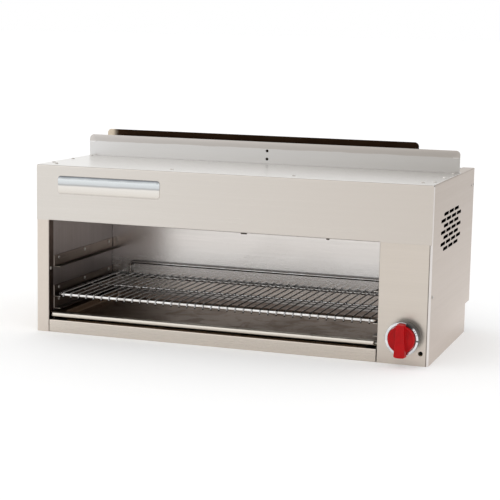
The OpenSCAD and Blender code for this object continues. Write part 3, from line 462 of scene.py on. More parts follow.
def side_panel_steel(name, light, dark, painted_shading=None):
    """Brushed along its depth, with a painted highlight round its front fold, painted shade in
    the thickness of its louvres and on the folds that line the opening, and, when a drift is
    given, painted shade that deepens up its height above the foot."""
    made = steel(name, light, dark, 0.32, ALONG_Y, marks=0.2, patch=3.5, painted_shading=painted_shading)
    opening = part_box("left_cavity_wall")[0].x
    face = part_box("hood")[0].y
    x, y, z = (made.place(axis) for axis in "XYZ")
    if painted_shading:
        # painted shade above the foot
        made.coat(ramp(z, 0.035, 0.110, 0.0, 0.6), (171, 157, 145))
    # painted highlight round the front fold
    fold = times(ramp(made.facing("Y"), -0.10, -0.30, 0.0, 0.7), ramp(x, 0.0, 0.01))
    made.coat(fold, (240, 237, 236))
    # painted shade in the thickness of the louvres
    edge_on = ramp(calc("ABSOLUTE", made.facing("X")), 0.75, 0.55)
    far_in = within(y, *[[face + depth for depth in pair] for pair in LOUVRES_IN])
    made.coat(times(edge_on, within(z, *LOUVRES_UP), far_in), (34, 30, 27))
    # painted shade on the folds that line the opening
    by_opening = within(x, (opening - 0.0022, opening - 0.0012), (0.0, 0.01))
    made.coat(times(by_opening, ramp(y, face + 0.0030, face + 0.0050)), (60, 36, 20))
    return made


left_side_steel = side_panel_steel("left_side_steel", (219, 209, 199), (211, 201, 191))
# the right panel takes a darker copy of the sheet, darkening further up its height: painted shade
right_side_shaded_steel = side_panel_steel(
    "right_side_shaded_steel", (210, 197, 187), (203, 190, 179), ((136, 120, 104), "Z", 0.11, 0.35))
deburred("left_side_panel", left_side_steel)
deburred("right_side_panel", right_side_shaded_steel)

# ---- Control panel and front rail ----
# The panel at the right of the opening carries the knob and the pilot screw. The rail
# runs under the tray. Both are brushed like the hood, with a seam between them.

# painted shadow in the gap at the seam beside the right fold
panel_steel = steel("panel_steel", (209, 200, 190), (201, 192, 182), 0.31, marks=0.2, patch=5.0)
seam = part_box("control_panel")[1].x
panel_steel.coat(ramp(panel_steel.place("X"), seam - 0.0020, seam - 0.0012, 0.0, 0.75), (92, 82, 76))
# the rail darkens towards its right end: painted shade
rail_steel = steel(
    "rail_steel", (217, 208, 198), (210, 201, 191), 0.28, marks=0.2, patch=6.0,
    painted_shading=((203, 193, 182), "X", -0.38, 0.46))
deburred("control_panel", panel_steel)
deburred("front_rail", rail_steel)

# ---- Base and back ----
# Plain mill-finish sheet that is not meant to be seen: the pan under the broiling space
# and the plate behind it, screwed to the folds of the sides and blackened inside.

MILL_LIGHT, MILL_DARK = (196, 194, 190), (164, 162, 158)

mill_steel = steel("mill_steel", MILL_LIGHT, MILL_DARK, 0.36, marks=0.6, patch=7.0)
back_steel = steel("back_steel", MILL_LIGHT, MILL_DARK, 0.36, marks=0.6, patch=7.0)
back_steel.coat(ramp(back_steel.facing("Y"), -0.60, -0.90), (26, 23, 21))
deburred("base_pan", mill_steel)
deburred("back_panel", back_steel)

# ---- Roof and flue ----
# The roof sheet ends at a low riser that shields the flue. The plate behind the flue
# stands a little higher, and the burners' heat has browned it.

# the roof darkens towards its left end: painted shade
roof_steel = steel(
    "roof_steel", (231, 229, 226), (223, 221, 218), 0.30, marks=0.2, patch=3.0,
    painted_shading=((217, 215, 211), "X", 0.05, -0.45))


def drifting(finish, axis, size, detail, reach):
    """The place along an axis, moved to and fro by a soft noise."""
    here = finish.here()
    return plus(part(here, axis), ramp(cloud(here, size, detail), 0.3, 0.7, -reach, reach))


def riser_steel():
    """Painted shade: greyer than the roof towards its right end, and darker in a band under its top edge.
    """
    made = steel(
        "riser_steel", (221, 220, 219), (211, 210, 209), 0.30, marks=0.2, patch=3.0,
        painted_shading=((176, 172, 167), "X", -0.50, 0.46))
    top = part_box("riser_plate")[1].z
    height = drifting(made, "Z", 18.0, 3.0, 0.001)
    # painted shade in a band under the top edge
    made.coat(ramp(height, top - 0.0165, top - 0.0150, 0.0, 0.4), (150, 136, 124))
    return made


def flue_plate_steel():
    """The plate behind the flue, scorched dark but for its outer end, which the gas misses."""
    made = steel("flue_plate_steel", (66, 48, 34), (34, 22, 14), 0.38, marks=0.7, patch=8.0)
    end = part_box("flue_rear_plate")[0].x
    along = drifting(made, "X", 30.0, 4.0, 0.004)
    made.coat(ramp(along, end + 0.016, end + 0.028, 1.0, 0.0), (214, 200, 180))
    return made


flue_inner_steel = steel(
    "flue_inner_steel", (150, 138, 122), (104, 92, 80), 0.40, marks=0.6, patch=8.0, heat=(0.20, 0.42))
deburred("top_panel", roof_steel)
deburred("riser_plate", riser_steel())
deburred("flue_rear_plate", flue_plate_steel())
deburred("flue_front_wall", flue_inner_steel)

# ---- Walls of the broiling space ----
# Aluminised sheet, smooth and grey. The back wall takes a lighter copy of it, lighter still
# towards its foot, and the side walls a darker copy with faint upright streaks that darkens
# to the rear: painted light and shade. A painted shadow lines the rear corners.


def spots(where, size):
    """Scattered round spots: their distance from each spot's middle, and a colour each."""
    return put(where.id_data, "TexVoronoi", {"Vector": where, "Scale": size, "Randomness": 1.0})


def wall_steel(name, light, dark, rough, grain, painted_shading):
    """Aluminised sheet: a soft sheen, dulled a little in clouds, with a few burnt specks, a painted shadow
    along the rear corner, and any drift of painted light and shade that it is given.
    """
    made = steel(name, light, dark, rough, grain, marks=0.4, patch=5.0, depth=0.000004, painted_shading=painted_shading)
    here = made.here()
    dulled = ramp(cloud(here, 5.0, 3.0, 0.5, 0.4), 0.42, 0.70, 0.0, 0.3)
    made.coat(dulled, dark)
    drops = spots(here, 26.0)
    rare = ramp(put(made.tree, "SeparateColor", {0: drops["Color"]})[0], 0.72, 0.76)
    made.coat(times(ramp(drops["Distance"], 0.03, 0.06, 0.6, 0.0), rare), (120, 96, 78))
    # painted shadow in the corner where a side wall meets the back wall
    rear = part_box("rear_cavity_wall")[0].y
    corner = within(made.place("Y"), (rear - 0.0030, rear - 0.0012), (rear - 0.0006, rear - 0.0003))
    made.coat(corner, (40, 31, 26))
    made.set(Roughness=plus(made.given("Roughness"), times(dulled, 0.1)))
    return made


side_low, side_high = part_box("left_cavity_wall")
# the side walls' darker copy and its fall to the rear are painted shade; the back wall's lighter copy,
# lighter towards its foot, is painted light
side_wall_shaded_steel = wall_steel(
    "side_wall_shaded_steel", (150, 141, 138), (124, 114, 111), 0.34, ALONG_Z,
    ((80, 73, 72), "Y", side_low.y + 0.05, side_high.y))
back_wall_lit_steel = wall_steel(
    "back_wall_lit_steel", (226, 221, 217), (215, 210, 206), 0.24, ALONG_X,
    ((255, 255, 255), "Z", 0.17, 0.08))
deburred("left_cavity_wall", side_wall_shaded_steel)
deburred("right_cavity_wall", side_wall_shaded_steel)
deburred("rear_cavity_wall", back_wall_lit_steel)

# ---- Insulation ----
# Blankets of white ceramic wool, cut to size and laid over the burners and behind the
# side walls. Their faces are lumpy and their cut edges soft.

WOOL_CELL = 0.012
WOOL_DENT = 0.0022
WOOL_SOFT = 0.32


def wool():
    """Matted fibre, toned down from white as painted shade: short hairs lying every way, with shallow
    hollows between them that are painted darker.
    """
    made = Finish("ceramic_wool_mat", Roughness=0.95, Sheen_Weight=0.25)
    here = made.here()
    hairs, tufts = cloud(here, 900.0, 6.0, 0.8, 2.5), cloud(here, 90.0, 5.0, 0.6, 1.2)
    hollows = plus(times(hairs, 0.5), times(tufts, 0.5))
    # the low hollows are painted darker and the whole is toned down: painted shade
    made.set(Base_Color=between(ramp(hollows, 0.35, 0.6), (150, 138, 118), (198, 188, 170)))
    made.raise_grain(hollows, 0.0006)
    return made


def wool_blanket(node, finish):
    """A blanket in the box of its CAD solid: a net of small faces on all six sides, its
    corners drawn in and its faces pressed unevenly."""
    low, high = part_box(node)
    size = high - low
    counts = [max(3, round(length / WOOL_CELL)) for length in size]
    work = bmesh.new()
    for axis in range(3):
        u, v = (axis + 1) % 3, (axis + 2) % 3
        for end in (0.0, 1.0):
            net = []
            for i in range(counts[u] + 1):
                net.append([])
                for j in range(counts[v] + 1):
                    at = [0.0, 0.0, 0.0]
                    at[axis], at[u], at[v] = end, i / counts[u], j / counts[v]
                    net[i].append(work.verts.new([low[k] + at[k] * size[k] for k in range(3)]))
            for i in range(counts[u]):
                for j in range(counts[v]):
                    work.faces.new((net[i][j], net[i + 1][j], net[i + 1][j + 1], net[i][j + 1]))
    bmesh.ops.remove_doubles(work, verts=work.verts, dist=1e-5)
    middle, half = (low + high) / 2, size / 2
    soft = min(size) * WOOL_SOFT
    for vert in work.verts:
        near = [min(1.0, (half[k] - abs(vert.co[k] - middle[k])) / soft) for k in range(3)]
        ends = [1.0 - n for n in near]
        pull = math.sqrt(sum(e * e for e in ends)) - max(ends)
        lump = 0.5 + 0.5 * noise.noise(vert.co * 34.0) + 0.25 * noise.noise(vert.co * 110.0)
        for k in range(3):
            away = 1.0 if vert.co[k] > middle[k] else -1.0
            press = max(0.0, ends[k]) * (pull * soft * 0.9 + WOOL_DENT * min(1.0, max(0.0, lump)))
            vert.co[k] -= away * press
    made = add_piece(node + "_blanket", work, finish, node, sharp=180.0)


wool_mat = wool()
for blanket in ("left_insulation", "right_insulation", "top_insulation"):
    wool_blanket(blanket, wool_mat)

# ---- Guides and ledges ----
# Three pairs of steel angles on the side walls, for the rack at three heights, and a pair
# of ledges for the tray. Heat has browned them, and painted shade darkens their edges.


def guide_steel():
    """Browned on its uprights, with painted shade along its edges, a painted dark reflection where the
    shelf lies flat, and a painted highlight on the cut ends.
    """
    # the dark edge colour is painted shade along the edges
    made = steel(
        "guide_steel", (126, 112, 102), (94, 80, 71), 0.34, ALONG_Y, marks=0.5, patch=12.0,
        edge_wear_and_shade_tone=(58, 44, 36))
    # painted dark reflection on the flat faces of the shelf
    made.coat(ramp(calc("ABSOLUTE", made.facing("Z")), 0.35, 0.85, 0.0, 0.85), (44, 31, 23))
    # painted highlight on the front-facing cut ends
    made.coat(ramp(made.facing("Y"), -0.6, -0.9), (222, 214, 204))
    return made


guide_finish = guide_steel()
for side in ("left", "right"):
    for bar in ("upper_guide", "rack_guide", "lower_guide", "tray_ledge"):
        deburred(side + "_" + bar, guide_finish)

# ---- Wire rack ----
# A chromed grid: a bent rod frame with a rod across its middle, and thirty-nine wires
# welded across, each turned down over the front rod. It slides on the middle guides.

FRAME_ROD = 0.0038
FRAME_BEND = 0.009
WIRE_BEND = 0.003
MIDDLE_ROD = 0.0025
CROSS_WIRE = 0.0016
WELD_SINK = 0.0003
WIRE_PITCH = 0.01905
WIRES_EACH_SIDE = 19


def bent(corners, radius, closed=False, steps=6):
    """The points of a path through those corners, each corner turned on an arc."""
    corners = [Vector(c) for c in corners]
    count = len(corners)
    points = []
    for i, corner in enumerate(corners):
        if not closed and i in (0, count - 1):
            points.append(corner)
            continue
        into = (corner - corners[i - 1]).normalized()
        out = (corners[(i + 1) % count] - corner).normalized()
        turn = into.angle(out)
        start = corner - into * radius * math.tan(turn / 2)
        axis = into.cross(out).normalized()
        centre = start + axis.cross(into) * radius
        for k in range(steps + 1):
            points.append(centre + Matrix.Rotation(turn * k / steps, 3, axis) @ (start - centre))
    return points


def level_corners(left, right, front, back, z):
    """The corners of a level rectangle, in the order that a path runs round it."""
    return [(left, front, z), (right, front, z), (right, back, z), (left, back, z)]


def skin(work, rings, closed=False):
    """Faces between rings of points, which all run the same way and have the same number."""
    loops = [[work.verts.new(point) for point in ring] for ring in rings]
    following = loops[1:] + loops[:1] if closed else loops[1:]
    for first, second in zip(loops, following):
        for i in range(len(first)):
            j = (i + 1) % len(first)
            work.faces.new((first[i], first[j], second[j], second[i]))
    if not closed:
        work.faces.new(loops[0][::-1])
        work.faces.new(loops[-1])


def around(sides):
    """The angles of a ring's points."""
    return [2 * math.pi * k / sides for k in range(sides)]


def rod(work, path, radius, sides=10, closed=False, round_ends=True):
    """A round rod along a path. radius is one number, or one for each point of the path."""
    path = [Vector(point) for point in path]
    radii = list(radius) if isinstance(radius, list) else [radius] * len(path)
    if round_ends and not closed:
        for _ in range(2):
            # rounds off the first end, then turns the path about for the other one
            tip, size = path[0], radii[0]
            out = (tip - path[1]).normalized()
            path[:1] = [tip, tip - out * size * 0.1, tip - out * size * 0.35]
            radii[:1] = [size * 0.45, size * 0.82, size]
            path.reverse()
            radii.reverse()
    count = len(path)
    across = None
    rings = []
    for i, here in enumerate(path):
        ahead = path[(i + 1) % count] if closed or i + 1 < count else here
        behind = path[i - 1] if closed or i else here
        along = (ahead - behind).normalized()
        across = across or along.orthogonal()
        across = (across - along * across.dot(along)).normalized()
        other = along.cross(across)
        rings.append([
            here + (across * math.cos(t) + other * math.sin(t)) * radii[i] for t in around(sides)])
    skin(work, rings, closed=closed)


def plated(name, light, dark, rough):
    """Bright plating with a faint haze, and a brown coat where food and heat have reached it."""
    made = Finish(name, Metallic=1.0)
    here = made.here()
    haze = ramp(cloud(here, 55.0, 5.0, 0.6, 0.5), 0.35, 0.7)
    specks = ramp(cloud(here, 420.0, 3.0, 0.7), 0.58, 0.72)
    film_and_shade = calc("MINIMUM", plus(haze, times(specks, 0.5)), 1.0)
    made.set(Base_Color=between(film_and_shade, light, dark), Roughness=plus(times(film_and_shade, 0.12), rough))
    made.raise_grain(cloud(here, 700.0, 4.0), 0.00002)
    return made


def rack_plate():
    """Chrome darkened by painted shade and dark reflection: all round the wires, more to the
    right, on the undersides of the rods, on the tops of the rods behind the middle, on the left
    rod and on the wires' turned-down ends. The front rod keeps its bright plating but for its underside."""
    made = plated("rack_plate", (240, 240, 240), (206, 202, 198), 0.10)
    low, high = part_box("rack_grid")
    middle_y = (low.y + high.y) / 2
    wire_low = high.z - 2 * CROSS_WIRE
    x, y, z = (made.place(axis) for axis in "XYZ")
    up = made.facing("Z")
    wires = within(z, (wire_low, wire_low + 0.0005), (high.z + 0.0002, high.z + 0.0004))
    wires = times(wires, ramp(x, -0.34, 0.0, 0.25, 1.0))
    drops = ramp(y, low.y + 0.0022, low.y + 0.0030, 0.4, 0.0)
    tips = ramp(z, low.z + 0.0028, low.z + 0.0034, 1.0, 0.0)
    rod_back = low.y + 2 * (CROSS_WIRE + FRAME_ROD)
    front = ramp(y, rod_back, rod_back + 0.0010, 1.0, 0.0)
    under = ramp(up, -0.05, -0.25)
    above = times(ramp(up, 0.60, 0.85, 0.0, 0.8), ramp(y, middle_y + 0.02, middle_y + 0.03))
    rods = times(most(under, above), less(1.0, front))
    # painted shade on the front rod's underside
    wiped = times(ramp(up, -0.75, -0.95), front)
    left_rod = ramp(x, low.x + 0.0078, low.x + 0.0084, 0.8, 0.0)
    film_and_shade = most(rods, wiped, wires, drops, left_rod, tips)
    # the dark coat is painted shade and dark reflection
    made.coat(film_and_shade, (22, 17, 14))
    made.set(Specular_IOR_Level=0.25, Metallic=less(1.0, times(film_and_shade, 0.6)))
    return made


rack_chrome = rack_plate()


def weld(work, where, reach):
    """The flattened bead that a spot weld squeezes out."""
    grown = Matrix.Translation(where) @ Matrix.Diagonal((*reach, 1.0))
    bmesh.ops.create_icosphere(work, subdivisions=1, radius=1.0, matrix=grown)


def rack():
    low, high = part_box("rack_grid")
    rod_z = high.z - FRAME_ROD - 2 * CROSS_WIRE + WELD_SINK
    wire_z = high.z - CROSS_WIRE
    front = low.y + FRAME_ROD + 2 * CROSS_WIRE - WELD_SINK
    back = high.y - FRAME_ROD
    left, right = low.x + FRAME_ROD, high.x - FRAME_ROD
    middle_z = wire_z - CROSS_WIRE - MIDDLE_ROD + WELD_SINK
    middle_y = (front + back) / 2
    work = bmesh.new()
    corners = level_corners(left, right, front, back, rod_z)
    rod(work, bent(corners, FRAME_BEND, closed=True, steps=8), FRAME_ROD, 14, closed=True)
    rod(work, [(left, middle_y, middle_z), (right, middle_y, middle_z)], MIDDLE_ROD, 12)
    centre = (low.x + high.x) / 2
    wire_front = low.y + CROSS_WIRE
    under = wire_z - CROSS_WIRE * 0.8
    for i in range(-WIRES_EACH_SIDE, WIRES_EACH_SIDE + 1):
        x = centre + i * WIRE_PITCH
        ends = [(x, back + 0.001, wire_z), (x, wire_front, wire_z), (x, wire_front, low.z)]
        rod(work, bent(ends, WIRE_BEND), CROSS_WIRE, 8)
        weld(work, (x, middle_y, under), (0.0021, 0.0017, 0.0010))
        for y in (back, front):
            weld(work, (x, y, under), (0.0021, 0.0020, 0.0010))
        weld(work, (x, wire_front + CROSS_WIRE * 0.8, rod_z), (0.0021, 0.0010, 0.0020))
    for end in (left, right):
        weld(work, (end, middle_y, rod_z), (0.0030, 0.0036, 0.0024))
    add_piece("rack_grid_wires", work, rack_chrome, "rack_grid", sharp=180.0)


def rack_stop():
    """The rail along the rack's rear edge: one rod with both ends bent down and welded."""
    low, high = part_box("rack_stop")
    size = (high.y - low.y) / 2
    y = (low.y + high.y) / 2
    left, right, top = low.x + size, high.x - size, high.z - size
    work = bmesh.new()
    ends = [(left, y, low.z), (left, y, top), (right, y, top), (right, y, low.z)]
    rod(work, bent(ends, 0.010, steps=8), size, 12)
    for x in (left, right):
        weld(work, (x, y, low.z + 0.0006), (0.0040, 0.0038, 0.0014))
    add_piece("rack_stop_rail", work, rack_chrome, "rack_stop", sharp=180.0)


rack()
rack_stop()

# ---- Drip tray ----
# A pressed steel tray that slides under the rack. Its front edge is curled over to make
# a pull, mitred at both ends, and its floor is stained brown.

TRAY_SHEET = 0.001
TRAY_CURL = 0.005
TRAY_RIM = 0.027
TRAY_FRONT_RIM = 0.022
TRAY_FLOOR = 0.030
CURL_STEPS = 20


def tray_steel():
    """Steel with a painted highlight along its front curl, and a floor browned by dried fat and heat, its
    darker tone partly painted shade.
    """
    made = steel("tray_steel", (138, 113, 89), (120, 97, 76), 0.30, marks=0.3, patch=4.0)
    here, depth = made.here(), made.place("Y")
    pools = ramp(cloud(here, 16.0, 6.0, 0.62, 1.4), 0.48, 0.66)
    round_spots = ramp(spots(here, 95.0)["Distance"], 0.10, 0.22, 1.0, 0.0)
    some = ramp(cloud(here, 30.0, 2.0), 0.52, 0.60)
    stain = most(pools, times(round_spots, some))
    front, back = (corner.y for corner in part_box("drip_tray"))
    made.coat(times(stain, 0.15), (80, 62, 50))
    made.coat(ramp(depth, back - 0.0290, back - 0.0275), (139, 127, 120))
    # painted highlight on the front curl
    made.coat(ramp(depth, front + 0.010, front + 0.016, 1.0, 0.0), (216, 210, 200))
    made.set(Roughness=plus(made.given("Roughness"), times(stain, 0.14)))
    return made


def tray():
    low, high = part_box("drip_tray")
    top, under = high.z, high.z - TRAY_SHEET
    floor_under, floor_top = TRAY_FLOOR, TRAY_FLOOR + TRAY_SHEET
    start = low.y + TRAY_CURL
    rim = (low.x, high.x, start, high.y)
    well = (low.x + TRAY_RIM, high.x - TRAY_RIM, start + TRAY_FRONT_RIM, high.y - TRAY_RIM)
    rings = []
    # from the floor's underside out under the rim, over its edge and down to the floor
    for (left, right, front, back), grown, z, radius in (
            (well, -0.004, floor_under, 0.004),
            (well, -0.001, floor_under + 0.0008, 0.006),
            (well, TRAY_SHEET, floor_under + 0.004, 0.008),
            (well, TRAY_SHEET, under - 0.003, 0.008),
            (well, TRAY_SHEET + 0.0008, under - 0.0008, 0.009),
            (well, TRAY_SHEET + 0.003, under, 0.010),
            (rim, -0.0003, under, 0.002),
            (rim, 0.0, under + 0.0003, 0.002),
            (rim, 0.0, top - 0.0003, 0.002),
            (rim, -0.0003, top, 0.002),
            (well, 0.003, top, 0.009),
            (well, 0.0008, top - 0.0008, 0.008),
            (well, 0.0, top - 0.003, 0.007),
            (well, 0.0, floor_top + 0.003, 0.007),
            (well, -0.0015, floor_top + 0.0006, 0.006),
            (well, -0.005, floor_top, 0.004)):
        corners = level_corners(left - grown, right + grown, front - grown, back + grown, z)
        rings.append(bent(corners, radius, closed=True, steps=5))
    work = bmesh.new()
    skin(work, rings)
    # the curl: the sheet's section, drawn out from one mitre to the other
    section = []
    outward = range(CURL_STEPS + 1)
    for reach, turns in ((TRAY_CURL, outward), (TRAY_CURL - TRAY_SHEET, reversed(outward))):
        for k in turns:
            a = math.radians(90.0 + 270.0 * k / CURL_STEPS)
            y = start + reach * math.cos(a)
            cut = max(0.0, TRAY_CURL * math.sqrt(2) - (y - low.y))
            section.append((cut, y, top - TRAY_CURL + reach * math.sin(a)))
    skin(work, [
        [(low.x + cut, y, z) for cut, y, z in section], [(high.x - cut, y, z) for cut, y, z in section]])
    add_piece("drip_tray_pressing", work, tray_steel(), "drip_tray", sharp=50.0)


tray()

# ---- Burners ----
# Two steel boxes under the roof, each holding eight pierced ceramic tiles over a wire
# screen, on shelves along the front and the back. Clips hold the screens up.

TILE_HOLE_PITCH = 0.0026
TILE_EDGE = 0.001
TILE_CELL = 0.0008

burner_steel = steel(
    "burner_steel", (150, 146, 140), (104, 98, 92), 0.42, marks=0.7, patch=9.0,
    heat=(0.25, 0.36), edge_wear_and_shade_tone=(90, 66, 50))
scorched_steel = steel("scorched_steel", (92, 80, 70), (44, 36, 31), 0.48, marks=0.8, patch=14.0)
for burner_part in ("front_burner_support", "rear_burner_support", "left_burner", "right_burner"):
    deburred(burner_part, burner_steel)
deburred("screen_clips", scorched_steel)
for screen in ("left_screen", "right_screen"):
    kept = frame["nodes"][screen].data.materials
    kept.clear()
    kept.append(scorched_steel.material)


def distance(x, y):
    return calc("SQRT", plus(times(x, x), times(y, y)))


def pierced_tile():
    """Cream ceramic with close rows of fine holes, greyed where the flame has stood."""
    made = Finish("pierced_tile", Roughness=0.9)
    across, along = (
        less(calc("FRACT", calc("DIVIDE", made.place(axis), TILE_HOLE_PITCH)), 0.5) for axis in "XY")
    hole = ramp(distance(across, along), 0.20, 0.28, 1.0, 0.0)
    sooty = ramp(cloud(made.here(), 24.0, 5.0, 0.6, 0.8), 0.4, 0.7)
    made.set(Base_Color=between(sooty, (176, 160, 136), (122, 106, 90)))
    made.coat(hole, (54, 44, 36))
    made.raise_grain(less(1.0, hole), 0.0008)
    return made


def islands(node):
    """The two corners of the box of each separate solid of a CAD node, and its points."""
    work = solid_of(node)
    waiting = dict.fromkeys(work.verts)
    found = []
    while waiting:
        group, edge = [], [waiting.popitem()[0]]
        while edge:
            vert = edge.pop()
            group.append(vert.co.copy())
            for other in [line.other_vert(vert) for line in vert.link_edges]:
                if other in waiting:
                    del waiting[other]
                    edge.append(other)
        low, high = (Vector([end(p[k] for p in group) for k in range(3)]) for end in (min, max))
        found.append((low, high, group))
    work.free()
    return sorted(found, key=lambda row: tuple(round(v, 5) for v in (*row[0], *row[1])))


def ceramic_tiles(node, finish):
    """Tiles with rounded edges and a waffle of shallow cells moulded in the lower face."""
    work = bmesh.new()
    for low, high, _ in islands(node):
        grown = Matrix.Translation((low + high) / 2) @ Matrix.Diagonal((*(high - low), 1.0))
        made = bmesh.ops.create_cube(work, size=1.0, matrix=grown)
        lines = list(dict.fromkeys(line for vert in made["verts"] for line in vert.link_edges))
        bmesh.ops.bevel(work, geom=lines, offset=TILE_EDGE, segments=2, profile=0.5, affect="EDGES")
    under = [face for face in work.faces if face.normal.z < -0.9]
    cuts = list(dict.fromkeys(line for face in under for line in face.edges))
    bmesh.ops.subdivide_edges(work, edges=cuts, cuts=6, use_grid_fill=True)
    cells = [f for f in work.faces if f.normal.z < -0.9 and f.calc_area() > 1e-5]
    bmesh.ops.inset_individual(work, faces=cells, thickness=TILE_CELL, depth=-TILE_CELL)
    add_piece(node + "_tiles", work, finish, node, sharp=50.0)


tile_ceramic = pierced_tile()
for side in ("left", "right"):
    ceramic_tiles(side + "_plaques", tile_ceramic)

# ---- Mixing tubes and gas pipes ----
# Bell-mouthed tubes carry gas and air over the cavity's right wall to the burners. A pipe
# manifold feeds their brass jets from the valve, and the supply pipe enters at the back.

STEP_DEPTH = 0.050
THREAD_PITCH = 0.0018
THREAD_LENGTH = 0.020
SOCKET_HALF = 0.007
FITTING_PROUD = 0.0060
ELBOW_PROUD = 0.0015
# a nut's rings: place along it, size, and how far its corners reach
NUT_RINGS = (
    (-0.5, 0.86, 0.96), (-0.5, 0.93, 0.97), (-0.36, 1.0, 1.0),
    (0.36, 1.0, 1.0), (0.5, 0.93, 0.97), (0.5, 0.86, 0.96))


def cast_metal(name, light, dark, rough, edge_wear_and_shade_tone, pits=0.00012):
    """Metal left as it was cast or rolled: grainy, darker in patches, bright where rubbed."""
    made = Finish(name, Metallic=1.0)
    here = made.here()
    patches = ramp(cloud(here, 38.0, 5.0, 0.6, 0.6), 0.35, 0.66)
    grit = cloud(here, 520.0, 4.0, 0.7)
    tone = plus(times(patches, 0.6), times(grit, 0.4))
    made.set(Base_Color=between(tone, light, dark), Roughness=plus(times(tone, 0.16), rough))
    made.coat(made.use("edge_wear_and_shade", Width=0.0014, Breaks=180.0)["Mask"], edge_wear_and_shade_tone)
    made.raise_grain(grit, pits)
    return made


tube_steel = steel(
    "tube_steel", (158, 156, 152), (118, 115, 110), 0.38, marks=0.6, patch=12.0, heat=(0.30, 0.46))
pipe_iron = cast_metal("pipe_iron", (74, 74, 76), (44, 43, 44), 0.42, (128, 126, 124))
brass = cast_metal("brass", (196, 164, 98), (146, 112, 62), 0.26, (224, 200, 140), pits=0.00005)
valve_alloy = cast_metal("valve_alloy_cast", (164, 161, 156), (118, 115, 110), 0.38, (206, 204, 200))
for tube in ("left_mixing_tube", "right_mixing_tube"):
    deburred(tube, tube_steel)
deburred("orifices", brass, 0.0003)
for bracket in ("valve_bracket", "post_brace"):
    deburred(bracket, mill_steel)
deburred("gas_valve", valve_alloy, 0.0008)
deburred("valve_stem", mill_steel, 0.0004)


def threaded(start, end, radius):
    """A path and its radii: plain pipe from start, then a cut thread up to end."""
    along = (end - start).normalized()
    smooth = (end - start).length - THREAD_LENGTH
    path, radii = [start], [radius]
    for k in range(2 * int(THREAD_LENGTH / THREAD_PITCH) + 1):
        path.append(start + along * (smooth + k * THREAD_PITCH / 2))
        radii.append(radius - (0.0009 if k % 2 else 0.0002))
    return [*path, end], [*radii, radius - 0.0014]


def hexagon(work, middle, along, across_flats, thick):
    """A hexagon nut with its corners turned off at both faces."""
    reach = across_flats / math.sqrt(3)
    first = along.orthogonal().normalized()
    second = along.cross(first)
    rings = []
    for at, size, corner in NUT_RINGS:
        rings.append([])
        for turn in range(0, 360, 15):
            a = math.radians(turn)
            flat = math.cos(math.radians(30)) / math.cos(math.radians(turn % 60 - 30))
            out = (first * math.cos(a) + second * math.sin(a)) * (reach * min(flat, corner) * size)
            rings[-1].append(middle + along * at * thick + out)
    skin(work, rings)


def collar(work, middle, along, radius, sides):
    """A socket or cap around a pipe, with rounded ends."""
    middle, along = Vector(middle), Vector(along)
    rod(work, [middle - along * SOCKET_HALF, middle + along * SOCKET_HALF], radius, sides)


def supply_pipe():
    low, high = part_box("inlet_pipe")
    nut_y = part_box("right_side_panel")[1].y - STEP_DEPTH
    x = (low.x + high.x) / 2
    radius = (high.x - low.x) / 2 - FITTING_PROUD
    z = low.z + FITTING_PROUD + radius
    y = low.y + radius + ELBOW_PROUD
    work = bmesh.new()
    path, radii = threaded(Vector((x, y + 0.030, z)), Vector((x, high.y, z)), radius)
    rod(work, path, radii, 24, round_ends=False)
    turn = bent([(x, y + 0.032, z), (x, y, z), (x, y, high.z)], radius + 0.002, steps=10)
    rod(work, turn, radius, 24, round_ends=False)
    collar(work, (x, y + 0.024, z), (0, 1, 0), radius + 0.0014, 24)
    collar(work, (x, y, z + 0.020), (0, 0, 1), radius + 0.0014, 24)
    hexagon(work, Vector((x, nut_y + 0.004, z)), Vector((0, 1, 0)), 2 * radius + 0.0095, 0.008)
    add_piece("inlet_pipe_run", work, pipe_iron, "inlet_pipe", sharp=32.0)


def gas_manifold():
    """The upright from the valve, its elbow, and the arm that holds both jets."""
    low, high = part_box("manifold")
    jets = islands("orifices")
    radius = (jets[0][1].z - jets[0][0].z) / 2
    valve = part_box("valve_stem")
    x = (valve[0].x + valve[1].x) / 2
    arm = min(high.x - x, 0.013) - 0.002
    z = jets[0][0].z + radius
    y = low.y + arm + ELBOW_PROUD
    work = bmesh.new()
    run = bent([(x, y, low.z), (x, y, z), (x, high.y, z)], arm + 0.002, steps=10)
    rod(work, run, arm, 20, round_ends=False)
    collar(work, (x, high.y - SOCKET_HALF, z), (0, 1, 0), arm + 0.002, 20)
    rod(work, [(x, y, low.z), (x, y, low.z + 0.012)], arm + 0.0022, 20)
    for jet_low, jet_high, _ in jets:
        jet_y = (jet_low.y + jet_high.y) / 2
        rod(work, [(jet_high.x, jet_y, z), (x, jet_y, z)], 0.008, 18)
    add_piece("manifold_pipes", work, pipe_iron, "manifold", sharp=40.0)


supply_pipe()
gas_manifold()

# ---- Knob and bezel ----
# A moulded red knob: a disc with a tall handle across it that is wider at its foot. It
# turns inside a pressed chrome ring with plain setting marks at the upper right.

SHEET = 0.0012
DISC_FRONT = 0.0320
DISC_BACK = 0.0210
DISC_EDGE = 0.0020
HUB = 0.0105
HANDLE_EDGE = 0.0020
HANDLE_TOP = 0.0180
HANDLE_FOOT = 0.0260
HANDLE_CROWN = 0.0007
MARK_COUNT = 7
MARK_WIDTH = 0.0009
MARK_LEAST = 0.0008
MARK_GROWTH = 0.00022

panel_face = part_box("hood")[0].y + SHEET
stem_low, stem_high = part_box("valve_stem")
stem_centre = (stem_low + stem_high) / 2
knob_low, knob_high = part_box("knob")
knob_radius = (knob_high.x - knob_low.x) / 2


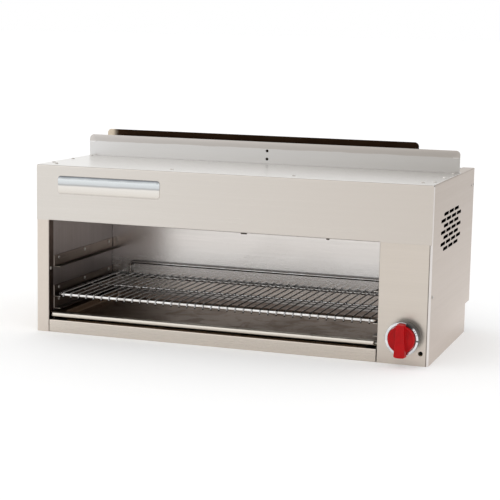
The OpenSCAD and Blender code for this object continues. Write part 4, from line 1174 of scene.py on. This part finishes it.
def red_plastic():
    """Glossy red moulding with a fine texture and light scuffs along its edges."""
    made = Finish("red_moulding", Specular_IOR_Level=0.15, Coat_Weight=0.06, Coat_Roughness=0.15)
    here = made.here()
    cast = ramp(cloud(here, 60.0, 4.0, 0.55, 0.4), 0.3, 0.7)
    made.set(Base_Color=between(cast, (164, 5, 12), (184, 6, 14)))
    scuffs = made.use("edge_wear_and_shade", Width=0.0010, Breaks=420.0)["Mask"]
    made.coat(times(scuffs, 0.35), (224, 74, 74))
    grain = cloud(here, 1500.0, 3.0)
    made.set(Roughness=ramp(grain, 0.3, 0.7, 0.30, 0.42))
    made.raise_grain(grain, 0.00003)
    return made


def turned(work, profile, sides=72):
    """A shape turned about the valve stem, from rows of radius and depth."""
    x, z = stem_centre.x, stem_centre.z
    skin(work, [
        [(x + radius * math.cos(t), y, z + radius * math.sin(t)) for t in around(sides)]
        for radius, y in profile])


def quarter(radius, edge, near, far, steps=4):
    """Rows of radius and depth that round an edge over from a side to a face."""
    turns = [math.radians(90.0 * k / steps) for k in range(steps + 1)]
    return [(radius - edge + edge * math.cos(a), near + (far - near) * math.sin(a)) for a in turns]


def handle_outline():
    """The handle's edge where it meets the disc, in small steps, its ends bowed."""
    top, foot = knob_high.z, knob_low.z
    corners = [
        (Vector((stem_centre.x + x, 0.0, z)), soft) for x, z, soft in (
            (HANDLE_FOOT / 2, foot, 0.0040), (HANDLE_TOP / 2, top, 0.0028),
            (-HANDLE_TOP / 2, top, 0.0028), (-HANDLE_FOOT / 2, foot, 0.0040))]
    rim = []
    for i, (corner, soft) in enumerate(corners):
        before, after = (
            corner + (corners[j % 4][0] - corner).normalized() * 0.007 for j in (i - 1, i + 1))
        rim += bent([before, corner, after], soft, steps=7)[1:-1]
    outline = []
    for i, point in enumerate(rim):
        ahead = rim[(i + 1) % len(rim)]
        pieces = max(1, round((ahead - point).length / 0.004))
        outline += [point.lerp(ahead, k / pieces) for k in range(pieces)]
    for point in outline:
        bow = max(0.0, 1.0 - ((point.x - stem_centre.x) / (HANDLE_FOOT / 2)) ** 2)
        if abs(point.z - top) < 0.002:
            point.z -= 0.0011 * (1.0 - bow)
        elif abs(point.z - foot) < 0.002:
            point.z += 0.0016 * (1.0 - bow)
    return outline


def knob_moulding():
    front = knob_low.y
    disc_front, disc_back = panel_face - DISC_FRONT, panel_face - DISC_BACK
    work = bmesh.new()
    turned(work, [
        (HUB * 0.5, knob_high.y), (HUB, knob_high.y), (HUB, disc_back),
        (knob_radius - 0.0010, disc_back), (knob_radius, disc_back - 0.0010),
        *quarter(knob_radius, DISC_EDGE, disc_front + DISC_EDGE, disc_front),
        (knob_radius - 0.0045, disc_front), (knob_radius - 0.0052, disc_front + 0.0005),
        (knob_radius - 0.0060, disc_front + 0.0006), (0.004, disc_front + 0.0006)])
    outline = handle_outline()
    spine_low, spine_high = knob_low.z + 0.013, knob_high.z - 0.009
    # the outline drawn in from the disc to the handle's rounded and crowned front
    rows = [(0.0, disc_front + 0.0020), (-0.0004, disc_front + 0.0002)]
    for k in range(5):
        rows.append((0.0002 + 0.0007 * k / 4, disc_front + (front + HANDLE_EDGE - disc_front) * k / 4))
    for k in range(1, 7):
        a = math.radians(90.0 * k / 6)
        rows.append((
            0.0009 + HANDLE_EDGE * (1 - math.cos(a)),
            front + HANDLE_CROWN + (HANDLE_EDGE - HANDLE_CROWN) * (1 - math.sin(a))))
    for by, crown in ((0.0055, 0.45), (0.0070, 0.8), (0.0078, 1.0)):
        rows.append((by, front + HANDLE_CROWN - HANDLE_CROWN * crown))
    rings = []
    for by, y in rows:
        rings.append([])
        for point in outline:
            core = Vector((stem_centre.x, 0.0, min(max(point.z, spine_low), spine_high)))
            away = point - core
            at = core + away * max(0.0, 1.0 - by / away.length)
            rings[-1].append((at.x, y, at.z))
    skin(work, rings)
    add_piece("knob_moulding", work, red_plastic(), "knob", sharp=42.0)


def bezel_chrome(radius):
    """Bright plating with a dark printed setting scale over a part of the face, and painted
    shade over the outer skirt round its upper side."""
    made = plated("bezel_plate", (236, 237, 238), (196, 197, 200), 0.09)
    dx, dz = less(made.place("X"), stem_centre.x), less(made.place("Z"), stem_centre.z)
    turn = calc("ARCTAN2", dz, dx)
    face = ramp(made.facing("Y"), -0.75, -0.90)

    def sector(start, end, soft):
        """A mask of the ring from one angle to another, in degrees from its right side."""
        rise, fall = ([math.radians(a - soft), math.radians(a + soft)] for a in (start, end))
        return within(turn, rise, fall)

    scale = most(sector(46.0, 76.0, 3.0), sector(-6.0, -1.0, 1.5))
    # painted shade over the skirt
    skirt = times(
        sector(-38.0, 118.0, 12.0), less(1.0, face),
        ramp(distance(dx, dz), radius - 0.0030, radius - 0.0024))
    film_and_shade = times(most(times(scale, face), skirt), 0.96)
    made.coat(film_and_shade, (30, 26, 22))
    made.set(Specular_IOR_Level=0.1, Metallic=less(1.0, film_and_shade))
    return made


def mark_paint():
    """Black paint, worn a little thin."""
    made = Finish("mark_paint", Roughness=0.5)
    thin = ramp(cloud(made.here(), 1400.0, 3.0), 0.35, 0.7)
    made.set(Base_Color=between(thin, (26, 26, 28), (58, 58, 60)))
    return made


def bezel_ring():
    """The chrome ring, with an inner lip, a flat face and a rolled skirt down to the panel,
    and short plain bars around its face that grow towards the full setting."""
    low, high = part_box("knob_bezel")
    radius = (high.x - low.x) / 2
    inner = knob_radius + 0.0006
    front, back = low.y, high.y
    lip = [math.radians(a) for a in (30, 60, 90)]
    work = bmesh.new()
    turned(work, [
        (radius - 0.0026, back), (radius - 0.0014, back), (radius - 0.0014, front + 0.0036),
        (radius - 0.0002, front + 0.0028), (radius, front + 0.0020),
        *quarter(radius, 0.0018, front + 0.0018, front, 5), (inner + 0.0016, front),
        *[(inner + 0.0016 - 0.0016 * math.sin(a), front + 0.0016 * (1 - math.cos(a))) for a in lip],
        (inner, front + 0.0040), (inner + 0.0010, front + 0.0040), (inner + 0.0018, front + 0.0024),
        (radius - 0.0026, front + 0.0040)], 96)
    add_piece("bezel_ring", work, bezel_chrome(radius), "knob_bezel")
    marks = bmesh.new()
    for k in range(MARK_COUNT):
        a = math.radians(72.0 - 9.0 * k)
        out, across = Vector((math.cos(a), 0.0, math.sin(a))), Vector((-math.sin(a), 0.0, math.cos(a)))
        middle = stem_centre + out * ((radius + inner) / 2 + 0.0001)
        rings = []
        for y, grown in ((front + 0.0002, 1.0), (front - 0.00008, 1.0), (front - 0.00014, 0.86)):
            middle.y = y
            reach = out * (MARK_LEAST + MARK_GROWTH * k) * grown
            side = across * MARK_WIDTH * grown / 2
            rings.append([
                middle + corner for corner in (reach + side, reach - side, -reach - side, side - reach)])
        skin(marks, rings)
    add_piece("bezel_marks", marks, mark_paint(), "knob_bezel", replaces=False)


knob_moulding()
bezel_ring()

# ---- Pilot ----
# A small brass valve behind a hole in the control panel, set with a screwdriver, and a
# thin tube that runs up and over the wall to the pilot beside the right burner.

TUBE_PLAY = 0.0003


def pilot_pipe():
    low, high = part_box("pilot_tube")
    foot = [p.x for p in islands("pilot_tube")[0][2] if p.z < low.z + 1e-4]
    radius = (max(foot) - min(foot)) / 2
    gap = radius + TUBE_PLAY
    up_x, up_y, down_x = high.x - gap, low.y + gap, low.x + gap
    over_y, over_z = high.y - gap, high.z - gap
    down_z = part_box("pilot_burner")[0].z + 0.014
    path = bent([(up_x, up_y, low.z), (up_x, up_y, over_z), (up_x, over_y, over_z),
                 (down_x, over_y, over_z), (down_x, over_y, down_z)], 0.0075, steps=7)
    work = bmesh.new()
    rod(work, path, radius, 12)
    for nut in ((up_x, up_y, low.z + 0.004), (down_x, over_y, down_z + 0.004)):
        hexagon(work, Vector(nut), Vector((0, 0, 1)), radius * 3.4, 0.007)
    add_piece("pilot_tube_run", work, brass, "pilot_tube", sharp=35.0)


def pilot_screw_black():
    """Near-black steel, a painted shade for the hole that it sits in; matt, with a little dust in its slot.
    """
    made = Finish("pilot_screw_black", Specular_IOR_Level=0.1)
    here = made.here()
    dust = ramp(cloud(here, 500.0, 3.0), 0.45, 0.70)
    made.set(Base_Color=between(dust, (20, 18, 17), (36, 32, 29)), Roughness=plus(times(dust, 0.2), 0.6))
    made.raise_grain(cloud(here, 900.0, 3.0), 0.00002)
    return made


deburred("pilot_valve", brass, 0.0006)
deburred("pilot_adjuster", pilot_screw_black(), 0.0002)
deburred("pilot_burner", scorched_steel, 0.0003)
pilot_pipe()

# ---- Nameplate ----
# A bare bright plate on the hood, pressed into a low pillow: a flat rim, then a band that
# rises to a broad face with a shallow fold along its middle.

# the pillow's rings: how far in from the edge, share of the depth, and corner radius
PILLOW = (
    (0.0, 0.42, 0.0070), (0.0004, 0.56, 0.0068), (0.0012, 0.60, 0.0064), (0.0022, 0.58, 0.0058),
    (0.0030, 0.66, 0.0052), (0.0044, 0.86, 0.0044), (0.0060, 0.94, 0.0036), (0.0085, 0.97, 0.0026),
    (0.0120, 0.99, 0.0018), (0.0165, 1.0, 0.0010))


def plate_chrome():
    """Satin chrome with painted shading and reflection, from its upper slope down across the fold to a pale
    lower face.
    """
    made = Finish("plate_chrome", Metallic=1.0)
    low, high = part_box("nameplate")
    at = ramp(drifting(made, "Z", 26.0, 3.0, 0.0006), low.z, high.z)
    made.set(Base_Color=tones(at, (196, 190, 182), (96, 98, 102), (
        (0.10, (222, 216, 208)), (0.44, (232, 228, 222)), (0.52, (176, 176, 176)),
        (0.60, (206, 210, 212)), (0.82, (226, 231, 233)), (0.92, (150, 154, 158)))))
    lines = made.use("brushed_grain", Stretch=(30.0, 2400.0, 2400.0))
    made.coat(times(lines["Tone"], 0.12), (150, 150, 150))
    made.set(Roughness=ramp(lines["Tone"], 0.0, 1.0, 0.20, 0.13))
    made.raise_grain(lines["Height"], 0.00001)
    return made


def bare_plate():
    low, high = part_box("nameplate")
    middle, half = (low + high) / 2, (high - low) / 2
    depth = high.y - low.y
    rows = [(0.0004, high.y, 0.0066), (0.0, high.y - 0.0003, 0.0070)]
    rows += [(inset, high.y - depth * share, corner) for inset, share, corner in PILLOW]
    rings = []
    for inset, y, corner in rows:
        w, h = half.x - inset, half.z - inset
        corners = [(middle.x + a * w, y, middle.z + b * h) for a, b in ((-1, -1), (1, -1), (1, 1), (-1, 1))]
        rings.append(bent(corners, corner, closed=True))
    work = bmesh.new()
    skin(work, rings)
    add_piece("nameplate_pressing", work, plate_chrome(), "nameplate", sharp=60.0)


bare_plate()

# ---- Screws and bolts ----
# Pan-head steel screws with a cross recess: along the roof, the riser, the sides, the
# back and the guides. Each is turned at its own angle, as a hand leaves it.

HEAD_SIDES = 32
# the head's rings: size and height as shares of the head's, and how far the cross is cut in
HEAD_RINGS = (
    (0.94, 0.0, 0.0), (1.0, 0.12, 0.0), (0.97, 0.40, 0.0), (0.86, 0.66, 0.0), (0.70, 0.86, 0.0),
    (0.58, 0.97, 0.0), (0.52, 1.0, 0.20), (0.46, 0.72, 0.16), (0.30, 0.42, 0.10))


def driven_screws(node, finish):
    """A domed, recessed head and plain shank in the place of each of the node's screws."""
    work = bmesh.new()
    turns = random.Random(len(node) * 31)
    for low, high, group in islands(node):
        size, middle = high - low, (low + high) / 2
        # the screw points along the axis whose two other sides are nearly as wide as each other
        axis = max(range(3), key=lambda k: min(abs(size[k] - size[k - 1]), abs(size[k] - size[k - 2])))
        way = Vector([float(k == axis) for k in range(3)])
        reaches = [(p - middle - way * (p - middle)[axis]).length for p in group]
        radius = max(reaches)
        edge = [p[axis] for p, reach in zip(group, reaches) if reach > radius * 0.95]
        seat, tip, far = min(edge), high[axis], low[axis]
        if sum(edge) / len(edge) < middle[axis]:
            way, seat, tip, far = -way, max(edge), low[axis], high[axis]
        height, length = abs(tip - seat), abs(far - seat)
        base = middle.copy()
        base[axis] = seat
        first = way.orthogonal().normalized()
        second = way.cross(first)
        start = turns.uniform(0.0, math.pi / 2)
        shank = radius * 0.47
        rows = [
            (shank * 0.6, -length, 0.0), (shank, -length + shank * 0.4, 0.0), (shank, -0.0001, 0.0)]
        rows += [(radius * share, height * up, radius * cross) for share, up, cross in HEAD_RINGS]
        rings = []
        for wide, up, cross in rows:
            rings.append([])
            for a in around(HEAD_SIDES):
                arm = abs(math.cos(2 * a)) ** 6 if cross else 1.0
                out = first * math.cos(a + start) + second * math.sin(a + start)
                rings[-1].append(base + way * up + out * (cross + (wide - cross) * arm))
        skin(work, rings)
    add_piece(node + "_driven", work, finish, node)


screw_steel = plated("screw_steel", (226, 223, 218), (170, 164, 158), 0.26)
for row in ("top_screws", "riser_screws", "side_screws", "back_screws", "guide_screws"):
    driven_screws(row, screw_steel)
